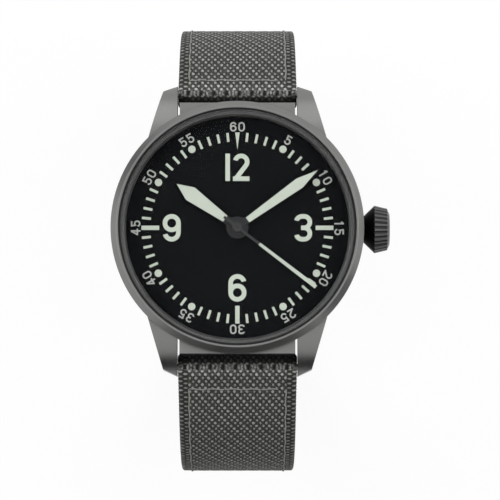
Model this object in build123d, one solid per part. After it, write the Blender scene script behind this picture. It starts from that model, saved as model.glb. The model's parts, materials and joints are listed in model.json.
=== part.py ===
"""Pilot watch on a two-piece textile strap, laid round in a loop as on a display collar.

Millimetres. The origin is the middle of the case back's outer face, +Z leaves through the dial,
+Y points to 12 o'clock and +X to the crown at 3 o'clock.
"""

from build123d import *
import math
import os

# The round stack, from the movement's plate out to the bezel
plate_r = 13.0
ring_gap = 0.03
holder_w = 3.57
back_plug_r = plate_r + ring_gap + holder_w
dial_seat_w = 2.6
dial_r = back_plug_r + dial_seat_w
crystal_over = 0.15
crystal_r = dial_r + crystal_over
gasket_w = 0.4
neck_w = 0.25
neck_r = crystal_r + gasket_w + neck_w
case_shoulder = 0.6
case_r = neck_r + case_shoulder
bezel_over = 0.4
bezel_r = case_r + bezel_over

# Case: the round body, its bores and the heights of its seats
case_low = 1.2
case_high = 8.2
case_bevel = 1.0
overrun = 1.0
fit = 0.02
seat_gap = 0.05

# Case back: a flange outside, a threaded plug inside
back_flange_w = 1.6
back_flange_r = back_plug_r + back_flange_w
back_wall = 1.0
back_plug_high = 2.7
back_floor = 0.9
back_gasket_w = 0.55
back_gasket_t = 0.5
key_slots = 6
key_slot_w = 2.4
key_slot_deep = 0.4
key_slot_l = 1.6

# Bezel, crystal and what lies between them
bezel_rim_z = 9.3
bezel_high = 10.5
bezel_lip = 0.3
crystal_low = 9.4
crystal_high = 11.3
crystal_bevel = 0.45
ledge_w = 0.1
neck_high = 0.7
dial_ring_w = 0.85
dial_ring_in = crystal_r - dial_ring_w

# Dial and its printing
dial_low = 7.0
dial_t = 0.4
dial_foot_r = 0.4
dial_foot_l = 0.6
dial_foot_at = 11.5
dial_foot_angles = (38.0, 218.0)
print_t = 0.05
minute_band_w = 2.57
tick_out = dial_ring_in - minute_band_w
tick_l = 1.5
tick_w = 0.42
dot_r = 0.62
dot_edge = 0.17
bar_l = 2.95
bar_w = 0.72
marker_l = 2.85
marker_w = 0.75
hour_digit_h = 4.57
hour_digit_w = 3.0
hour_stroke = 0.76
hour_side = 10.9
hour_bottom = 10.0
hour_top = 10.1
twelve_w = 4.0
twelve_gap = 0.5
minute_digit_h = 1.59
minute_digit_w = 1.08
minute_stroke = 0.25
minute_gap = 0.3
minute_inset = 1.62

# Lugs, the shelf between them and the strap's recess under it
lug_gap = 20.0
lug_stand = 3.75
lug_tip_y = case_r + lug_stand
bar_inset = 1.55
bar_y = lug_tip_y - bar_inset
lug_shoulder_l = 9.25
lug_corner_l = 1.1
lug_shoulder = (14.8, lug_tip_y - lug_shoulder_l)
lug_corner = (12.4, lug_tip_y - lug_corner_l)
lug_tip_low = 0.3
lug_tip_high = 2.0
lug_bend_l = 8.7
lug_belly_l = 3.0
lug_belly_z = 6.3
shelf_w = 19.2
shelf_stand = 0.3
shelf_y = case_r + shelf_stand
shelf_low = 4.9
shelf_high = 7.7
recess_deep = 0.3
recess_y = case_r - recess_deep

# Spring bars
bar_z = 2.4
bar_r = 0.85
bar_gap = 0.4
bar_pin_r = 0.45
bar_pin_l = 1.0

# Crown, its tube and the winding stem, all on one axis along X
stem_z = 4.6
crown_base = bezel_r
crown_neck_r = 2.22
crown_cone_l = 1.8
crown_r = 3.97
crown_end_r = 3.47
crown_barrel_l = 2.1
crown_dome_l = 0.4
crown_dome_r = 2.6
crown_flutes = 28
crown_flute_r = 0.26
tube_r = 1.25
tube_bore = 0.8
tube_seat = 1.0
tube_in = back_plug_r + tube_seat
tube_stand = 2.0
tube_out = crown_base + tube_stand
crown_travel = 0.8
crown_bore_gap = 0.05
crown_gasket_w = 0.45
crown_gasket_l = 0.5
stem_r = 0.6
stem_pivot_r = 0.3
stem_pivot_l = 1.8
stem_pivot_free = 0.5
stem_boss_l = 0.7
stem_square = 0.8
stem_thread_l = 1.0
stem_block_l = 0.65
stem_block_inset = 0.15
stem_block_out = plate_r - stem_block_inset
stem_block_in = stem_block_out - stem_block_l
groove_room = 1.05
groove_x = stem_block_in - groove_room
groove_w = 0.34
groove_r = 0.35

# Movement: the levels of its plates, from the dial side down
plate_low = 4.9
plate_high = 6.2
bridge_low = 2.5
bridge_high = 3.3
barrel_bridge_low = 2.1
barrel_bridge_high = 2.8
jewel_r = 0.5
jewel_t = 0.3
pivot_r = 0.1
pivot_gap = 0.03
pivot_end = 5.5
pivot_start = 2.75
pivot_hole_deep = 0.65
post_r = 0.8
screw_r = 0.35
screw_head_r = 0.65
screw_head_t = 0.3
screw_end = 5.3
screw_slot = 0.16

# Going train: tooth counts, places and levels
barrel_teeth = 72
centre_pinion_teeth = 12
centre_teeth = 80
third_pinion_teeth = 10
third_teeth = 75
fourth_pinion_teeth = 10
fourth_teeth = 84
escape_pinion_teeth = 7
escape_teeth = 20
barrel_far = 5.46
barrel_angle = 60.0
third_far = 4.0
third_angle = 200.0
escape_far = 3.87
escape_angle = 262.0
balance_angle = 300.0
wheel_t = 0.15
barrel_low = 4.25
barrel_high = 5.55
barrel_tooth_low = 4.45
barrel_tooth_t = 0.3
barrel_drum_r = 4.35
barrel_wall = 0.25
barrel_pocket_gap = 0.1
arbor_core_r = 0.9
arbor_pivot_r = 0.45
arbor_square = 1.2
spring_strip = 0.12
spring_pitch = 0.38
spring_gap = 0.05
centre_tube_r = 0.4
centre_bore = 0.22
centre_pinion_low = 4.35
centre_pinion_high = 4.85
centre_wheel_low = 4.0
third_pinion_low = 3.9
third_pinion_high = 4.3
third_wheel_low = 3.6
fourth_arbor_r = 0.13
fourth_pinion_low = 3.56
fourth_pinion_high = 3.85
fourth_wheel_low = 3.4
fourth_wheel_t = 0.12
escape_pinion_low = 3.36
escape_pinion_high = 3.56
escape_wheel_low = 4.3
escape_r = 1.7
escape_root_share = 0.78

# Pallet fork and balance
pallet_far = 2.1
pallet_t = 0.12
fork_w = 0.7
fork_neck = 0.3
fork_slot_w = 0.2
fork_slot_l = 0.4
fork_end = 0.17
stone_at = 2.05
stone_angle = 42.0
stone_l = 0.3
stone_w = 0.16
pallet_arm_w = 0.26
pallet_staff_r = 0.08
pallet_bridge_low = 3.9
pallet_bridge_high = 4.15
pallet_bridge_w = 1.0
pallet_foot_far = 2.6
pallet_foot_r = 0.5
balance_r = 4.2
balance_inset = 0.6
balance_rim = 0.55
balance_low = 3.6
balance_high = 3.85
balance_arm_w = 0.5
balance_staff_r = 0.2
balance_screws = 12
balance_screw_r = 0.09
balance_screw_l = 0.14
roller_r = 0.85
roller_low = 4.12
roller_high = 4.24
impulse_at = 0.6
impulse_r = 0.06
impulse_high = 4.5
hair_low = 3.37
hair_t = 0.15
hair_in = 0.55
hair_pitch = 0.16
hair_turns = 12
hair_w = 0.045
stud_w = 0.2
foot_inset = 1.5
cock_foot_angle = -27.0
train_foot_angles = (201.0, 246.0)
barrel_foot_angles = (107.7, 37.9)
cock_w = 2.6
train_arm_w = 2.3

# Motion work under the dial
cannon_teeth = 12
minute_wheel_teeth = 36
minute_pinion_teeth = 10
hour_teeth = 40
motion_far = 2.6
motion_angle = 160.0
cannon_low = 6.25
cannon_tooth_high = 6.75
cannon_pipe_r = 0.58
minute_wheel_low = 6.32
minute_pinion_high = 6.93
motion_post_r = 0.25
hour_wheel_low = 6.78
hour_pipe_in = 0.61
hour_pipe_r = 0.95
dial_hole_r = 1.1

# Hands, turned clockwise from 12 o'clock to the photographed time
hour_turn = 305.8
minute_turn = 54.5
second_turn = 127.5
hour_hand_low = 7.85
hour_hand_t = 0.22
hour_boss_r = 1.85
hour_tip_l = 2.95
hour_tip_inset = 3.35
hour_tip = tick_out - hour_tip_inset
hour_wide = hour_tip - hour_tip_l
hour_shape = {"start": 2.4, "start_w": 1.37, "wide": hour_wide, "wide_w": 2.66, "tip": hour_tip}
minute_hand_low = 8.25
minute_hand_t = 0.2
minute_boss_r = 1.2
minute_tip_l = 4.0
minute_tip_over = 0.75
minute_tip = tick_out + minute_tip_over
minute_wide = minute_tip - minute_tip_l
minute_shape = {"start": 2.0, "start_w": 1.13, "wide": minute_wide, "wide_w": 1.97, "tip": minute_tip}
hand_edge = 0.08
second_hand_low = 8.7
second_hand_t = 0.1
second_boss_r = 0.77
second_boss_t = 0.22
second_tail = 2.8
second_w = 0.46
second_tip_over = 0.45
second_tip = tick_out + second_tip_over
second_lume_in = 4.6
second_lume_w = (0.48, 0.63)
second_lume_t = 0.05
second_cap_t = 0.06

# Winding work
wind_l = 1.25
wind_gap = 0.15
wind_out = groove_x - wind_gap
wind_in = wind_out - wind_l
clutch_l = 1.4
clutch_out = wind_in - wind_gap
clutch_in = clutch_out - clutch_l
clutch_r = 1.1
clutch_groove_w = 0.3
clutch_groove_r = 0.8
stem_boss_gap = 1.7
stem_boss_in = clutch_in - stem_boss_gap
stem_in = stem_boss_in - stem_pivot_free
wind_teeth = 12
wind_r = 1.1
wind_tooth_h = 0.2
wind_tooth_share = 0.28
face_tooth_r = 2.175
crown_wheel_x = (wind_in + wind_out) / 2 - face_tooth_r
crown_wheel_low = 2.9
crown_wheel_high = 3.2
crown_wheel_teeth = 30
ratchet_teeth = 34
face_tooth_gap = 0.08
face_tooth_l = 0.4
crown_post_r = 0.5
stem_block_w = 3.0
stem_block_low = 3.5
lever_low = 4.5
lever_t = 0.2
lever_w = 0.8
lever_post_r = 0.3
setting_lever_at = (groove_x, 3.3)
setting_pin_r = 0.14
setting_pin_y = 0.5
yoke_at = ((clutch_in + clutch_out) / 2, 4.3)
yoke_finger_w = 0.2
yoke_finger_l = 1.0
click_turn = 118.0
click_l = 2.2
click_w = 0.7
click_low = 2.9
click_t = 0.25
click_gap = 0.06

# Strap: how far each half reaches out, how it bends, and how thick and wide it is
strap_leave_angle = 15.0
shell_t = 1.5
lining_t = 0.9
loop_r = 1.9
loop_gap = 0.06
lining_gap = 0.25
strap_w = 19.6
strap_end_w = 18.0
short_stand = 12.9
short_reach = bar_y + short_stand
short_drop = 4.0
short_bend_r = 17.5
short_flat = 17.0
long_stand = 16.5
long_reach = bar_y + long_stand
long_bend_r = 30.8
long_flat = 17.3
long_tail_r = 24.0
long_tail_angle = 48.0
tail_round = 5.0
hole_r = 1.0
hole_first = 25.0
hole_pitch = 6.5
hole_count = 7

# Buckle and keepers
buckle_w = 24.0
buckle_l = 11.6
buckle_t = 2.0
buckle_arm_gap = 0.3
buckle_front_w = 1.9
buckle_back = 1.7
buckle_round = 2.6
buckle_edge = 0.35
buckle_bar_r = 0.75
buckle_loop_r = 1.65
tongue_w = 1.9
tongue_t = 0.9
tongue_loop_r = 1.35
tongue_out = 0.5
tongue_seat = 0.1
tongue_bend_y = 3.2
tongue_slot_gap = 0.3
tongue_slot_l = 3.8
tongue_slot_h = 6.2
keeper_w = 4.0
keeper_t = 0.8
keeper_gap = 0.25
keeper_room = 2.7
keeper_fixed_y = 4.5
keeper_free_y = 12.6


def disc(radius, low, high, at=(0, 0)):
    """An upright cylinder between two heights."""
    return Pos(at[0], at[1], (low + high) / 2) * Cylinder(radius, high - low)


def ring(outer, inner, low, high, at=(0, 0)):
    """An upright ring between two heights."""
    bore = disc(inner, low - overrun, high + overrun, at)
    return disc(outer, low, high, at) - bore


def block(x, y, z):
    """A box between three pairs of limits."""
    size = [b - a for a, b in (x, y, z)]
    middle = [(a + b) / 2 for a, b in (x, y, z)]
    return Pos(*middle) * Box(*size)


def turned(points):
    """A solid turned about Z from (radius, height) points."""
    outline = Polyline(*[(r, 0, z) for r, z in points], close=True)
    return revolve(make_face(outline), Axis.Z)


def turned_x(points):
    """A solid turned about the stem's axis from (x, radius) points."""
    outline = Polyline(*[(x, 0, r) for x, r in points], close=True)
    return Pos(0, 0, stem_z) * revolve(make_face(outline), Axis.X)


def rod_x(radius, start, end, y=0.0, z=stem_z):
    """A cylinder along X."""
    return Pos((start + end) / 2, y, z) * Rot(0, 90, 0) * Cylinder(radius, end - start)


def plate(points, low, high):
    """A flat plate with straight edges between two heights."""
    return Pos(0, 0, low) * extrude(make_face(Polyline(*points, close=True)), high - low, (0, 0, 1))


def polar(far, angle):
    """A place at a distance and an angle in degrees from the middle."""
    return far * math.cos(math.radians(angle)), far * math.sin(math.radians(angle))


def link(a, b, width, low, high):
    """A bar with round ends between two places."""
    length = math.dist(a, b)
    turn = math.degrees(math.atan2(b[1] - a[1], b[0] - a[0]))
    bar = Pos((a[0] + b[0]) / 2, (a[1] + b[1]) / 2, (low + high) / 2) * Rot(0, 0, turn)
    bar = bar * Box(length, width, high - low)
    return bar + disc(width / 2, low, high, a) + disc(width / 2, low, high, b)


# Gears

addendum_share = 0.8
dedendum_share = 1.15
root_width_share = 0.3
tip_width_share = 0.12


def gear(teeth, module, low, high, at=(0, 0), phase=0.0, bore=0.0, holes=0):
    """A spur gear with slim straight-sided teeth, a bore and round lightening holes."""
    pitch_r = teeth * module / 2
    pitch = 360 / teeth
    root = pitch_r - dedendum_share * module
    tip = pitch_r + addendum_share * module
    points = []
    for tooth in range(teeth):
        middle = phase + tooth * pitch
        points.append(polar(root, middle - root_width_share * pitch))
        points.append(polar(tip, middle - tip_width_share * pitch))
        points.append(polar(tip, middle + tip_width_share * pitch))
        points.append(polar(root, middle + root_width_share * pitch))
    wheel = plate(points, low, high)
    if bore:
        wheel -= disc(bore, low - overrun, high + overrun)
    for hole in range(holes):
        place = polar(pitch_r * 0.58, (hole + 0.5) * 360 / holes)
        wheel -= disc(pitch_r * 0.22, low - overrun, high + overrun, place)
    return Pos(at[0], at[1], 0) * wheel


def meshed_phase(teeth_a, phase_a, at_a, teeth_b, at_b):
    """The phase that puts gear b's gaps where gear a's teeth stand."""
    line = math.degrees(math.atan2(at_b[1] - at_a[1], at_b[0] - at_a[0]))
    offset = (phase_a - line) / (360 / teeth_a)
    return line + 180 - (offset + 0.5) * 360 / teeth_b


def module_for(far, teeth_a, teeth_b):
    """The module with which two gears mesh at a distance."""
    return 2 * far / (teeth_a + teeth_b)


def spiral(inner, pitch, turns, width, low, high, at, start=0.0):
    """A flat spiral strip made of half turns, standing on edge."""
    outside, inside = [], []
    for half in range(2 * turns):
        radius = inner + half * pitch / 2
        middle = 0.0 if half % 2 == 0 else pitch / 2
        way = 1 if half % 2 == 0 else -1
        for side, edges in ((width / 2, outside), (-width / 2, inside)):
            r = radius + side
            a, b, c = (middle + way * r, 0), (middle, way * r), (middle - way * r, 0)
            edges.append(ThreePointArc(a, b, c))
    first = Line(inside[0] @ 0, outside[0] @ 0)
    last = Line(outside[-1] @ 1, inside[-1] @ 1)
    strip = make_face(Curve() + outside + inside + [first, last])
    return Pos(at[0], at[1], low) * Rot(0, 0, start) * extrude(strip, high - low, (0, 0, 1))


# Places of the moving pieces in plan

barrel_at = polar(barrel_far, barrel_angle)
third_at = polar(third_far, third_angle)
escape_at = polar(escape_far, escape_angle)
balance_far = plate_r - balance_r - balance_inset
balance_at = polar(balance_far, balance_angle)
motion_at = polar(motion_far, motion_angle)
lever_line = math.degrees(math.atan2(balance_at[1] - escape_at[1], balance_at[0] - escape_at[0]))
pallet_at = tuple(a + b for a, b in zip(escape_at, polar(pallet_far, lever_line)))
pallet_foot = tuple(a + b for a, b in zip(pallet_at, polar(pallet_foot_far, lever_line - 90)))
fork_l = math.dist(pallet_at, balance_at) - impulse_at
foot_far = plate_r - foot_inset
train_foot, train_foot_2 = (polar(foot_far, angle) for angle in train_foot_angles)
barrel_foot, barrel_foot_2 = (polar(foot_far, angle) for angle in barrel_foot_angles)
cock_foot = polar(foot_far, cock_foot_angle)
dial_high = dial_low + dial_t
barrel_module = module_for(barrel_far, barrel_teeth, centre_pinion_teeth)
centre_module = module_for(third_far, centre_teeth, third_pinion_teeth)
third_module = module_for(third_far, third_teeth, fourth_pinion_teeth)
fourth_module = module_for(escape_far, fourth_teeth, escape_pinion_teeth)
ratchet_far = math.dist(barrel_at, (crown_wheel_x, 0))
ratchet_module = module_for(ratchet_far, ratchet_teeth, crown_wheel_teeth)
ratchet_tip = ratchet_module * (ratchet_teeth / 2 + addendum_share)
cannon_module = module_for(motion_far, cannon_teeth, minute_wheel_teeth)
hour_module = module_for(motion_far, minute_pinion_teeth, hour_teeth)


# Case

def case_middle():
    """The round body with its bores, four lugs and the two shelves between them."""
    bevel_r = case_r - case_bevel
    dial_seat_r = dial_r + seat_gap
    bore_r = back_plug_r + seat_gap
    gasket_r = bore_r + back_gasket_w
    body = turned(
        [
            (gasket_r + seat_gap, case_low),
            (bevel_r, case_low),
            (case_r, case_low + case_bevel),
            (case_r, case_high),
            (neck_r, case_high),
            (neck_r, case_high + neck_high),
            (dial_seat_r, case_high + neck_high),
            (dial_seat_r, dial_low),
            (bore_r, dial_low),
            (bore_r, case_low + back_gasket_t + seat_gap),
            (gasket_r + seat_gap, case_low + back_gasket_t + seat_gap),
        ]
    )
    inside = disc(bore_r, case_low - overrun, dial_low) + disc(dial_seat_r, dial_low, crystal_high)
    inside += disc(gasket_r + seat_gap, case_low - overrun, case_low + back_gasket_t + seat_gap)
    for end in (1, -1):
        recess = (recess_y, lug_tip_y + overrun) if end > 0 else (-lug_tip_y - overrun, -recess_y)
        body -= block((-lug_gap / 2, lug_gap / 2), recess, (0, shelf_low))
    for end in (0, 180):
        for side in (1, -1):
            body += Rot(0, 0, end) * (lug() if side > 0 else mirror(lug(), Plane.YZ)) - inside
        depth = (back_flange_r, shelf_y)
        shelf = block((-shelf_w / 2, shelf_w / 2), depth, (shelf_low, shelf_high))
        body += Rot(0, 0, end) * shelf - inside
    for end in (bar_y, -bar_y):
        reach = lug_gap / 2 + bar_pin_l + bar_gap / 2
        body -= rod_x(bar_pin_r + fit, -reach, reach, end, bar_z)
    return body - rod_x(tube_r, back_plug_r - overrun, crown_base + overrun)


def lug():
    """One lug, cut to its outline from above out of its curved side view."""
    inner_y = case_r / 2
    bend_y = lug_tip_y - lug_bend_l
    belly_y = lug_tip_y - lug_belly_l
    side = make_face(
        Curve()
        + Line((inner_y, case_low), (inner_y, case_high))
        + Line((inner_y, case_high), (bend_y, case_high))
        + ThreePointArc((bend_y, case_high), (belly_y, lug_belly_z), (lug_tip_y, lug_tip_high))
        + Line((lug_tip_y, lug_tip_high), (lug_tip_y, lug_tip_low))
        + Line((lug_tip_y, lug_tip_low), (bend_y, case_low))
        + Line((bend_y, case_low), (inner_y, case_low))
    )
    side = extrude(Plane.YZ * side, case_r, (1, 0, 0))
    slope = (lug_corner[0] - lug_shoulder[0]) / (lug_corner[1] - lug_shoulder[1])
    root_x = lug_corner[0] + slope * (inner_y - lug_corner[1])
    corners = [(lug_gap / 2, inner_y), (root_x, inner_y), lug_corner, (lug_gap / 2, lug_tip_y)]
    return side & plate(corners, 0, case_high + overrun)


def bezel():
    """The bezel: a sloped ring pressed over the case's neck."""
    bore_r = crystal_r + gasket_w
    ledge_r = bore_r - gasket_w - ledge_w
    recess_r = neck_r + fit
    return turned(
        [
            (recess_r, case_high),
            (bezel_r, case_high),
            (bezel_r, bezel_rim_z),
            (bore_r + bezel_lip, bezel_high),
            (bore_r, bezel_high),
            (bore_r, crystal_low),
            (ledge_r, crystal_low),
            (ledge_r, case_high + neck_high + fit),
            (recess_r, case_high + neck_high + fit),
        ]
    )


def crystal():
    """The flat crystal with its bevelled edge."""
    return turned(
        [
            (0, crystal_low),
            (crystal_r, crystal_low),
            (crystal_r, crystal_high - crystal_bevel),
            (crystal_r - crystal_bevel, crystal_high),
            (0, crystal_high),
        ]
    )


def crystal_gasket():
    """The dark ring that holds the crystal in the bezel."""
    return ring(crystal_r + gasket_w, crystal_r, crystal_low, bezel_high - bezel_lip)


def dial_ring():
    """The sloped ring between the dial's edge and the crystal."""
    outer = crystal_r - ledge_w - seat_gap
    return turned(
        [
            (dial_ring_in, dial_high),
            (outer, dial_high),
            (outer, crystal_low),
            (outer - gasket_w, crystal_low),
            (dial_ring_in, crystal_low - gasket_w),
        ]
    )


def case_back():
    """The screwed case back, its plug and the slots for the case wrench."""
    inner = back_plug_r - back_wall
    back = turned(
        [
            (0, 0),
            (back_flange_r, 0),
            (back_flange_r, case_low),
            (back_plug_r, case_low),
            (back_plug_r, back_plug_high),
            (inner, back_plug_high),
            (inner, back_floor),
            (0, back_floor),
        ]
    )
    for slot in range(key_slots):
        place = (back_flange_r - key_slot_l, back_flange_r + overrun)
        width = (-key_slot_w / 2, key_slot_w / 2)
        back -= Rot(0, 0, (slot + 0.5) * 360 / key_slots) * block(place, width, (-overrun, key_slot_deep))
    return back


def case_back_gasket():
    """The flat seal between the case back's flange and the case."""
    inner = back_plug_r + seat_gap
    return ring(inner + back_gasket_w, inner, case_low, case_low + back_gasket_t)


def movement_ring():
    """The ring that holds the movement in the case and carries the dial."""
    holder = ring(back_plug_r, plate_r + ring_gap, back_plug_high, dial_low)
    return holder - rod_x(stem_r + seat_gap, plate_r - overrun, back_plug_r + overrun)


# Dial

def dial():
    """The black dial with its two feet."""
    face = ring(dial_r, dial_hole_r, dial_low, dial_high)
    for angle in dial_foot_angles:
        face += disc(dial_foot_r, dial_low - dial_foot_l, dial_low, polar(dial_foot_at, angle))
    return face


def printed(outline):
    """A printed shape: an outline raised a little from the dial."""
    return Pos(0, 0, dial_high) * extrude(outline, print_t, (0, 0, 1))


def dial_markers():
    """Minute ticks, five-minute dots, three quarter bars and the pointed marker at 12."""
    pieces = []
    for minute in range(60):
        turn = Rot(0, 0, -6 * minute)
        if minute == 0:
            half = marker_w / 2
            corners = [(-half, tick_out), (half, tick_out), (0, tick_out - marker_l)]
            pieces.append(printed(make_face(Polyline(*corners, close=True))))
        elif minute % 15 == 0:
            bar = Pos(0, tick_out - bar_l / 2) * Rectangle(bar_w, bar_l)
            pieces.append(turn * printed(bar))
        elif minute % 5 == 0:
            pieces.append(turn * printed(Pos(0, tick_out - dot_edge - dot_r) * Circle(dot_r)))
        else:
            tick = Pos(0, tick_out - tick_l / 2) * Rectangle(tick_w, tick_l)
            pieces.append(turn * printed(tick))
    return Compound(children=pieces)


def stroke(edges, width):
    """A line of edges thickened to a pen's width."""
    return trace(Curve() + edges, width)


def digit(name, height, width, pen):
    """One digit drawn as a plain upright figure with an even stroke."""
    a = (width - pen) / 2
    b = (height - pen) / 2
    high = b - a
    half = pen / 2
    if name == "0":
        sides = [Line((a, -high), (a, high)), Line((-a, high), (-a, -high))]
        return stroke(sides + [CenterArc((0, high), a, 0, 180), CenterArc((0, -high), a, 180, 180)], pen)
    if name == "1":
        flag = stroke([Line((0, b), (-0.8 * a, 0.52 * b))], pen * 0.9)
        return Rectangle(pen, height) + flag
    if name == "2":
        top = CenterArc((0, high), a, 165, -205)
        diagonal = Line(top @ 1, (-a + 0.1 * a, -b))
        return stroke([top, diagonal], pen) + Pos(0, -b) * Rectangle(width, pen)
    if name == "3":
        r = b / 2
        upper = [CenterArc((a - r, r), r, 90, -180), Line((a - r, b), (r - a, b))]
        upper += [CenterArc((r - a, r), r, 90, 75), Line((a - r, 0), (-0.3 * a, 0))]
        top = stroke(upper, pen)
        return top + mirror(top, Plane.XZ)
    if name == "4":
        arm = -0.42 * b
        stem = 0.4 * a
        diagonal = stroke([Line((stem, b + half), (-a, arm))], pen)
        bar = Pos(0, arm) * Rectangle(width, pen)
        return (diagonal + bar + Pos(stem, 0) * Rectangle(pen, height)) & Rectangle(width, height)
    if name == "5":
        left = -0.84 * a
        bowl = CenterArc((0, -high), a, 128, -298)
        neck = Line((left, b), bowl @ 0)
        bar = Pos((a - half + left) / 2, b) * Rectangle(a + half - left, pen)
        return stroke([bowl, neck], pen) + bar
    if name == "6":
        bowl = Circle(a + half) - Circle(a - half)
        stem = [Line((-a, -high), (-a, high)), CenterArc((0, high), a, 180, -165)]
        return Pos(0, -high) * bowl + stroke(stem, pen)
    return Rot(0, 0, 180) * digit("6", height, width, pen)


def hour_numerals():
    """The four large hour numerals; the 1 of the 12 is a plain bar."""
    pieces = []
    places = {"9": (-hour_side, 0), "3": (hour_side, 0), "6": (0, -hour_bottom)}
    for name, place in places.items():
        figure = digit(name, hour_digit_h, hour_digit_w, hour_stroke)
        pieces.append(Pos(*place, 0) * printed(figure))
    two_w = twelve_w - hour_stroke - twelve_gap
    two = digit("2", hour_digit_h, two_w, hour_stroke)
    pieces.append(Pos((twelve_w - two_w) / 2, hour_top, 0) * printed(two))
    one = Rectangle(hour_stroke, hour_digit_h)
    pieces.append(Pos((hour_stroke - twelve_w) / 2, hour_top, 0) * printed(one))
    return Compound(children=pieces)


def minute_numerals():
    """The minute numerals from 5 to 60, their tops turned outwards."""
    pieces = []
    for minute in range(5, 65, 5):
        figures = str(minute)
        step = minute_digit_w + minute_gap
        for index, name in enumerate(figures):
            x = (index - (len(figures) - 1) / 2) * step
            figure = digit(name, minute_digit_h, minute_digit_w, minute_stroke)
            place = Rot(0, 0, -6 * minute) * Pos(x, dial_ring_in - minute_inset, 0)
            pieces.append(place * printed(figure))
    return Compound(children=pieces)


# Hands

def hand_outline(shape, edge):
    """The outline of a hand's blade, drawn in by an edge width."""
    start, wide, tip = shape["start"], shape["wide"], shape["tip"]
    a = shape["start_w"] / 2 - edge
    b = shape["wide_w"] / 2 - edge
    point = tip - edge * (tip - wide) / (shape["wide_w"] / 2)
    return [(-a, start + edge), (a, start + edge), (b, wide), (0, point), (-b, wide)]


def blade(shape, low, thick, boss_r, bore, turn):
    """A hand: boss, short neck and a blade with a window for the luminous filling."""
    high = low + thick
    neck_w = shape["start_w"]
    hand = plate(hand_outline(shape, 0), low, high)
    hand -= plate(hand_outline(shape, hand_edge), low - overrun, high + overrun)
    hand += block((-neck_w / 2, neck_w / 2), (0, shape["start"] + hand_edge), (low, high))
    hand += disc(boss_r, low, high)
    return Rot(0, 0, -turn) * (hand - disc(bore, low - overrun, high + overrun))


def filling(shape, low, thick, turn):
    """The luminous filling in a hand's window."""
    return Rot(0, 0, -turn) * plate(hand_outline(shape, hand_edge), low, low + thick)


def second_hand():
    """The thin second hand with its short square tail and boss."""
    high = second_hand_low + second_hand_t
    half = second_w / 2
    hand = block((-half, half), (-second_tail, second_tip), (second_hand_low, high))
    hand += disc(second_boss_r, second_hand_low - seat_gap, second_hand_low + second_boss_t)
    hand -= disc(fourth_arbor_r, second_hand_low - overrun, second_hand_low + second_boss_t - second_cap_t)
    return Rot(0, 0, -second_turn) * hand


def second_hand_lume():
    """The luminous stripe on the second hand, a little wider at its tip."""
    low = second_hand_low + second_hand_t
    a, b = second_lume_w[0] / 2, second_lume_w[1] / 2
    corners = [(-a, second_lume_in), (a, second_lume_in), (b, second_tip), (-b, second_tip)]
    return Rot(0, 0, -second_turn) * plate(corners, low, low + second_lume_t)


# Plates and bridges

def pivot_seat(at, face, way):
    """The cut for one jewel and the end of a pivot; way is 1 upwards from the face, -1 downwards."""
    jewel = sorted((face, face + way * jewel_t))
    end = sorted((face, face + way * pivot_hole_deep))
    return disc(jewel_r, *jewel, at) + disc(pivot_r + pivot_gap, *end, at)


def screw_hole(at):
    """The hole for one bridge screw."""
    return disc(screw_r, barrel_bridge_low - overrun, screw_end, at)


screw_places = [
    (train_foot, bridge_low),
    (train_foot_2, bridge_low),
    (barrel_foot, barrel_bridge_low),
    (barrel_foot_2, barrel_bridge_low),
    (cock_foot, bridge_low),
]


def mainplate():
    """The main plate with the barrel's pocket, the stem's channel and bearings, and its posts."""
    base = disc(plate_r, plate_low, plate_high)
    pocket_r = barrel_drum_r + barrel_pocket_gap
    base -= disc(pocket_r, plate_low - overrun, barrel_high + barrel_pocket_gap, barrel_at)
    base -= disc(arbor_pivot_r + fit, plate_low, plate_high - screw_slot, barrel_at)
    base -= disc(centre_tube_r + fit, plate_low - overrun, plate_high + overrun)
    channel_high = stem_z + wind_r + wind_tooth_h + seat_gap
    half = stem_block_w / 2
    base -= block((stem_boss_in, stem_block_in), (-half, half), (plate_low - overrun, channel_high))
    base += block((stem_block_in, stem_block_out), (-half, half), (stem_block_low, plate_low + seat_gap))
    inner = (stem_boss_in - seat_gap, stem_boss_in + stem_boss_l)
    base += block(inner, (-lever_w, lever_w), (stem_z - lever_w, plate_high - screw_slot))
    base -= rod_x(stem_r + fit, stem_block_in - fit, plate_r + overrun)
    base -= rod_x(stem_pivot_r + fit, stem_in - fit, inner[1] + overrun)
    for at in (third_at, escape_at, pallet_at, balance_at):
        base -= pivot_seat(at, plate_low, 1)
    for at, _ in screw_places:
        base -= screw_hole(at)
    for at in (setting_lever_at, yoke_at):
        base += disc(lever_post_r, lever_low - lever_t, plate_low + seat_gap, at)
    base += disc(motion_post_r, plate_high - seat_gap, minute_pinion_high, motion_at)
    foot_end = dial_low - dial_foot_l - fit
    for angle in dial_foot_angles:
        base -= disc(dial_foot_r + fit, foot_end, plate_high + overrun, polar(dial_foot_at, angle))
    return base


def train_bridge():
    """The fingered bridge over the third, fourth and escape wheels."""
    low, high = bridge_low, bridge_high
    bridge = link(third_at, (0, 0), train_arm_w, low, high)
    bridge += link(third_at, escape_at, cock_w, low, high)
    bridge += link(third_at, train_foot, cock_w, low, high)
    bridge += link(escape_at, train_foot_2, cock_w, low, high)
    for foot in (train_foot, train_foot_2):
        bridge += disc(post_r, high, plate_low, foot)
        bridge -= screw_hole(foot)
    for at in (third_at, (0, 0), escape_at):
        bridge -= pivot_seat(at, high, -1)
    return bridge - disc(fourth_arbor_r + pivot_gap, high - pivot_hole_deep, high + overrun)


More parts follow.
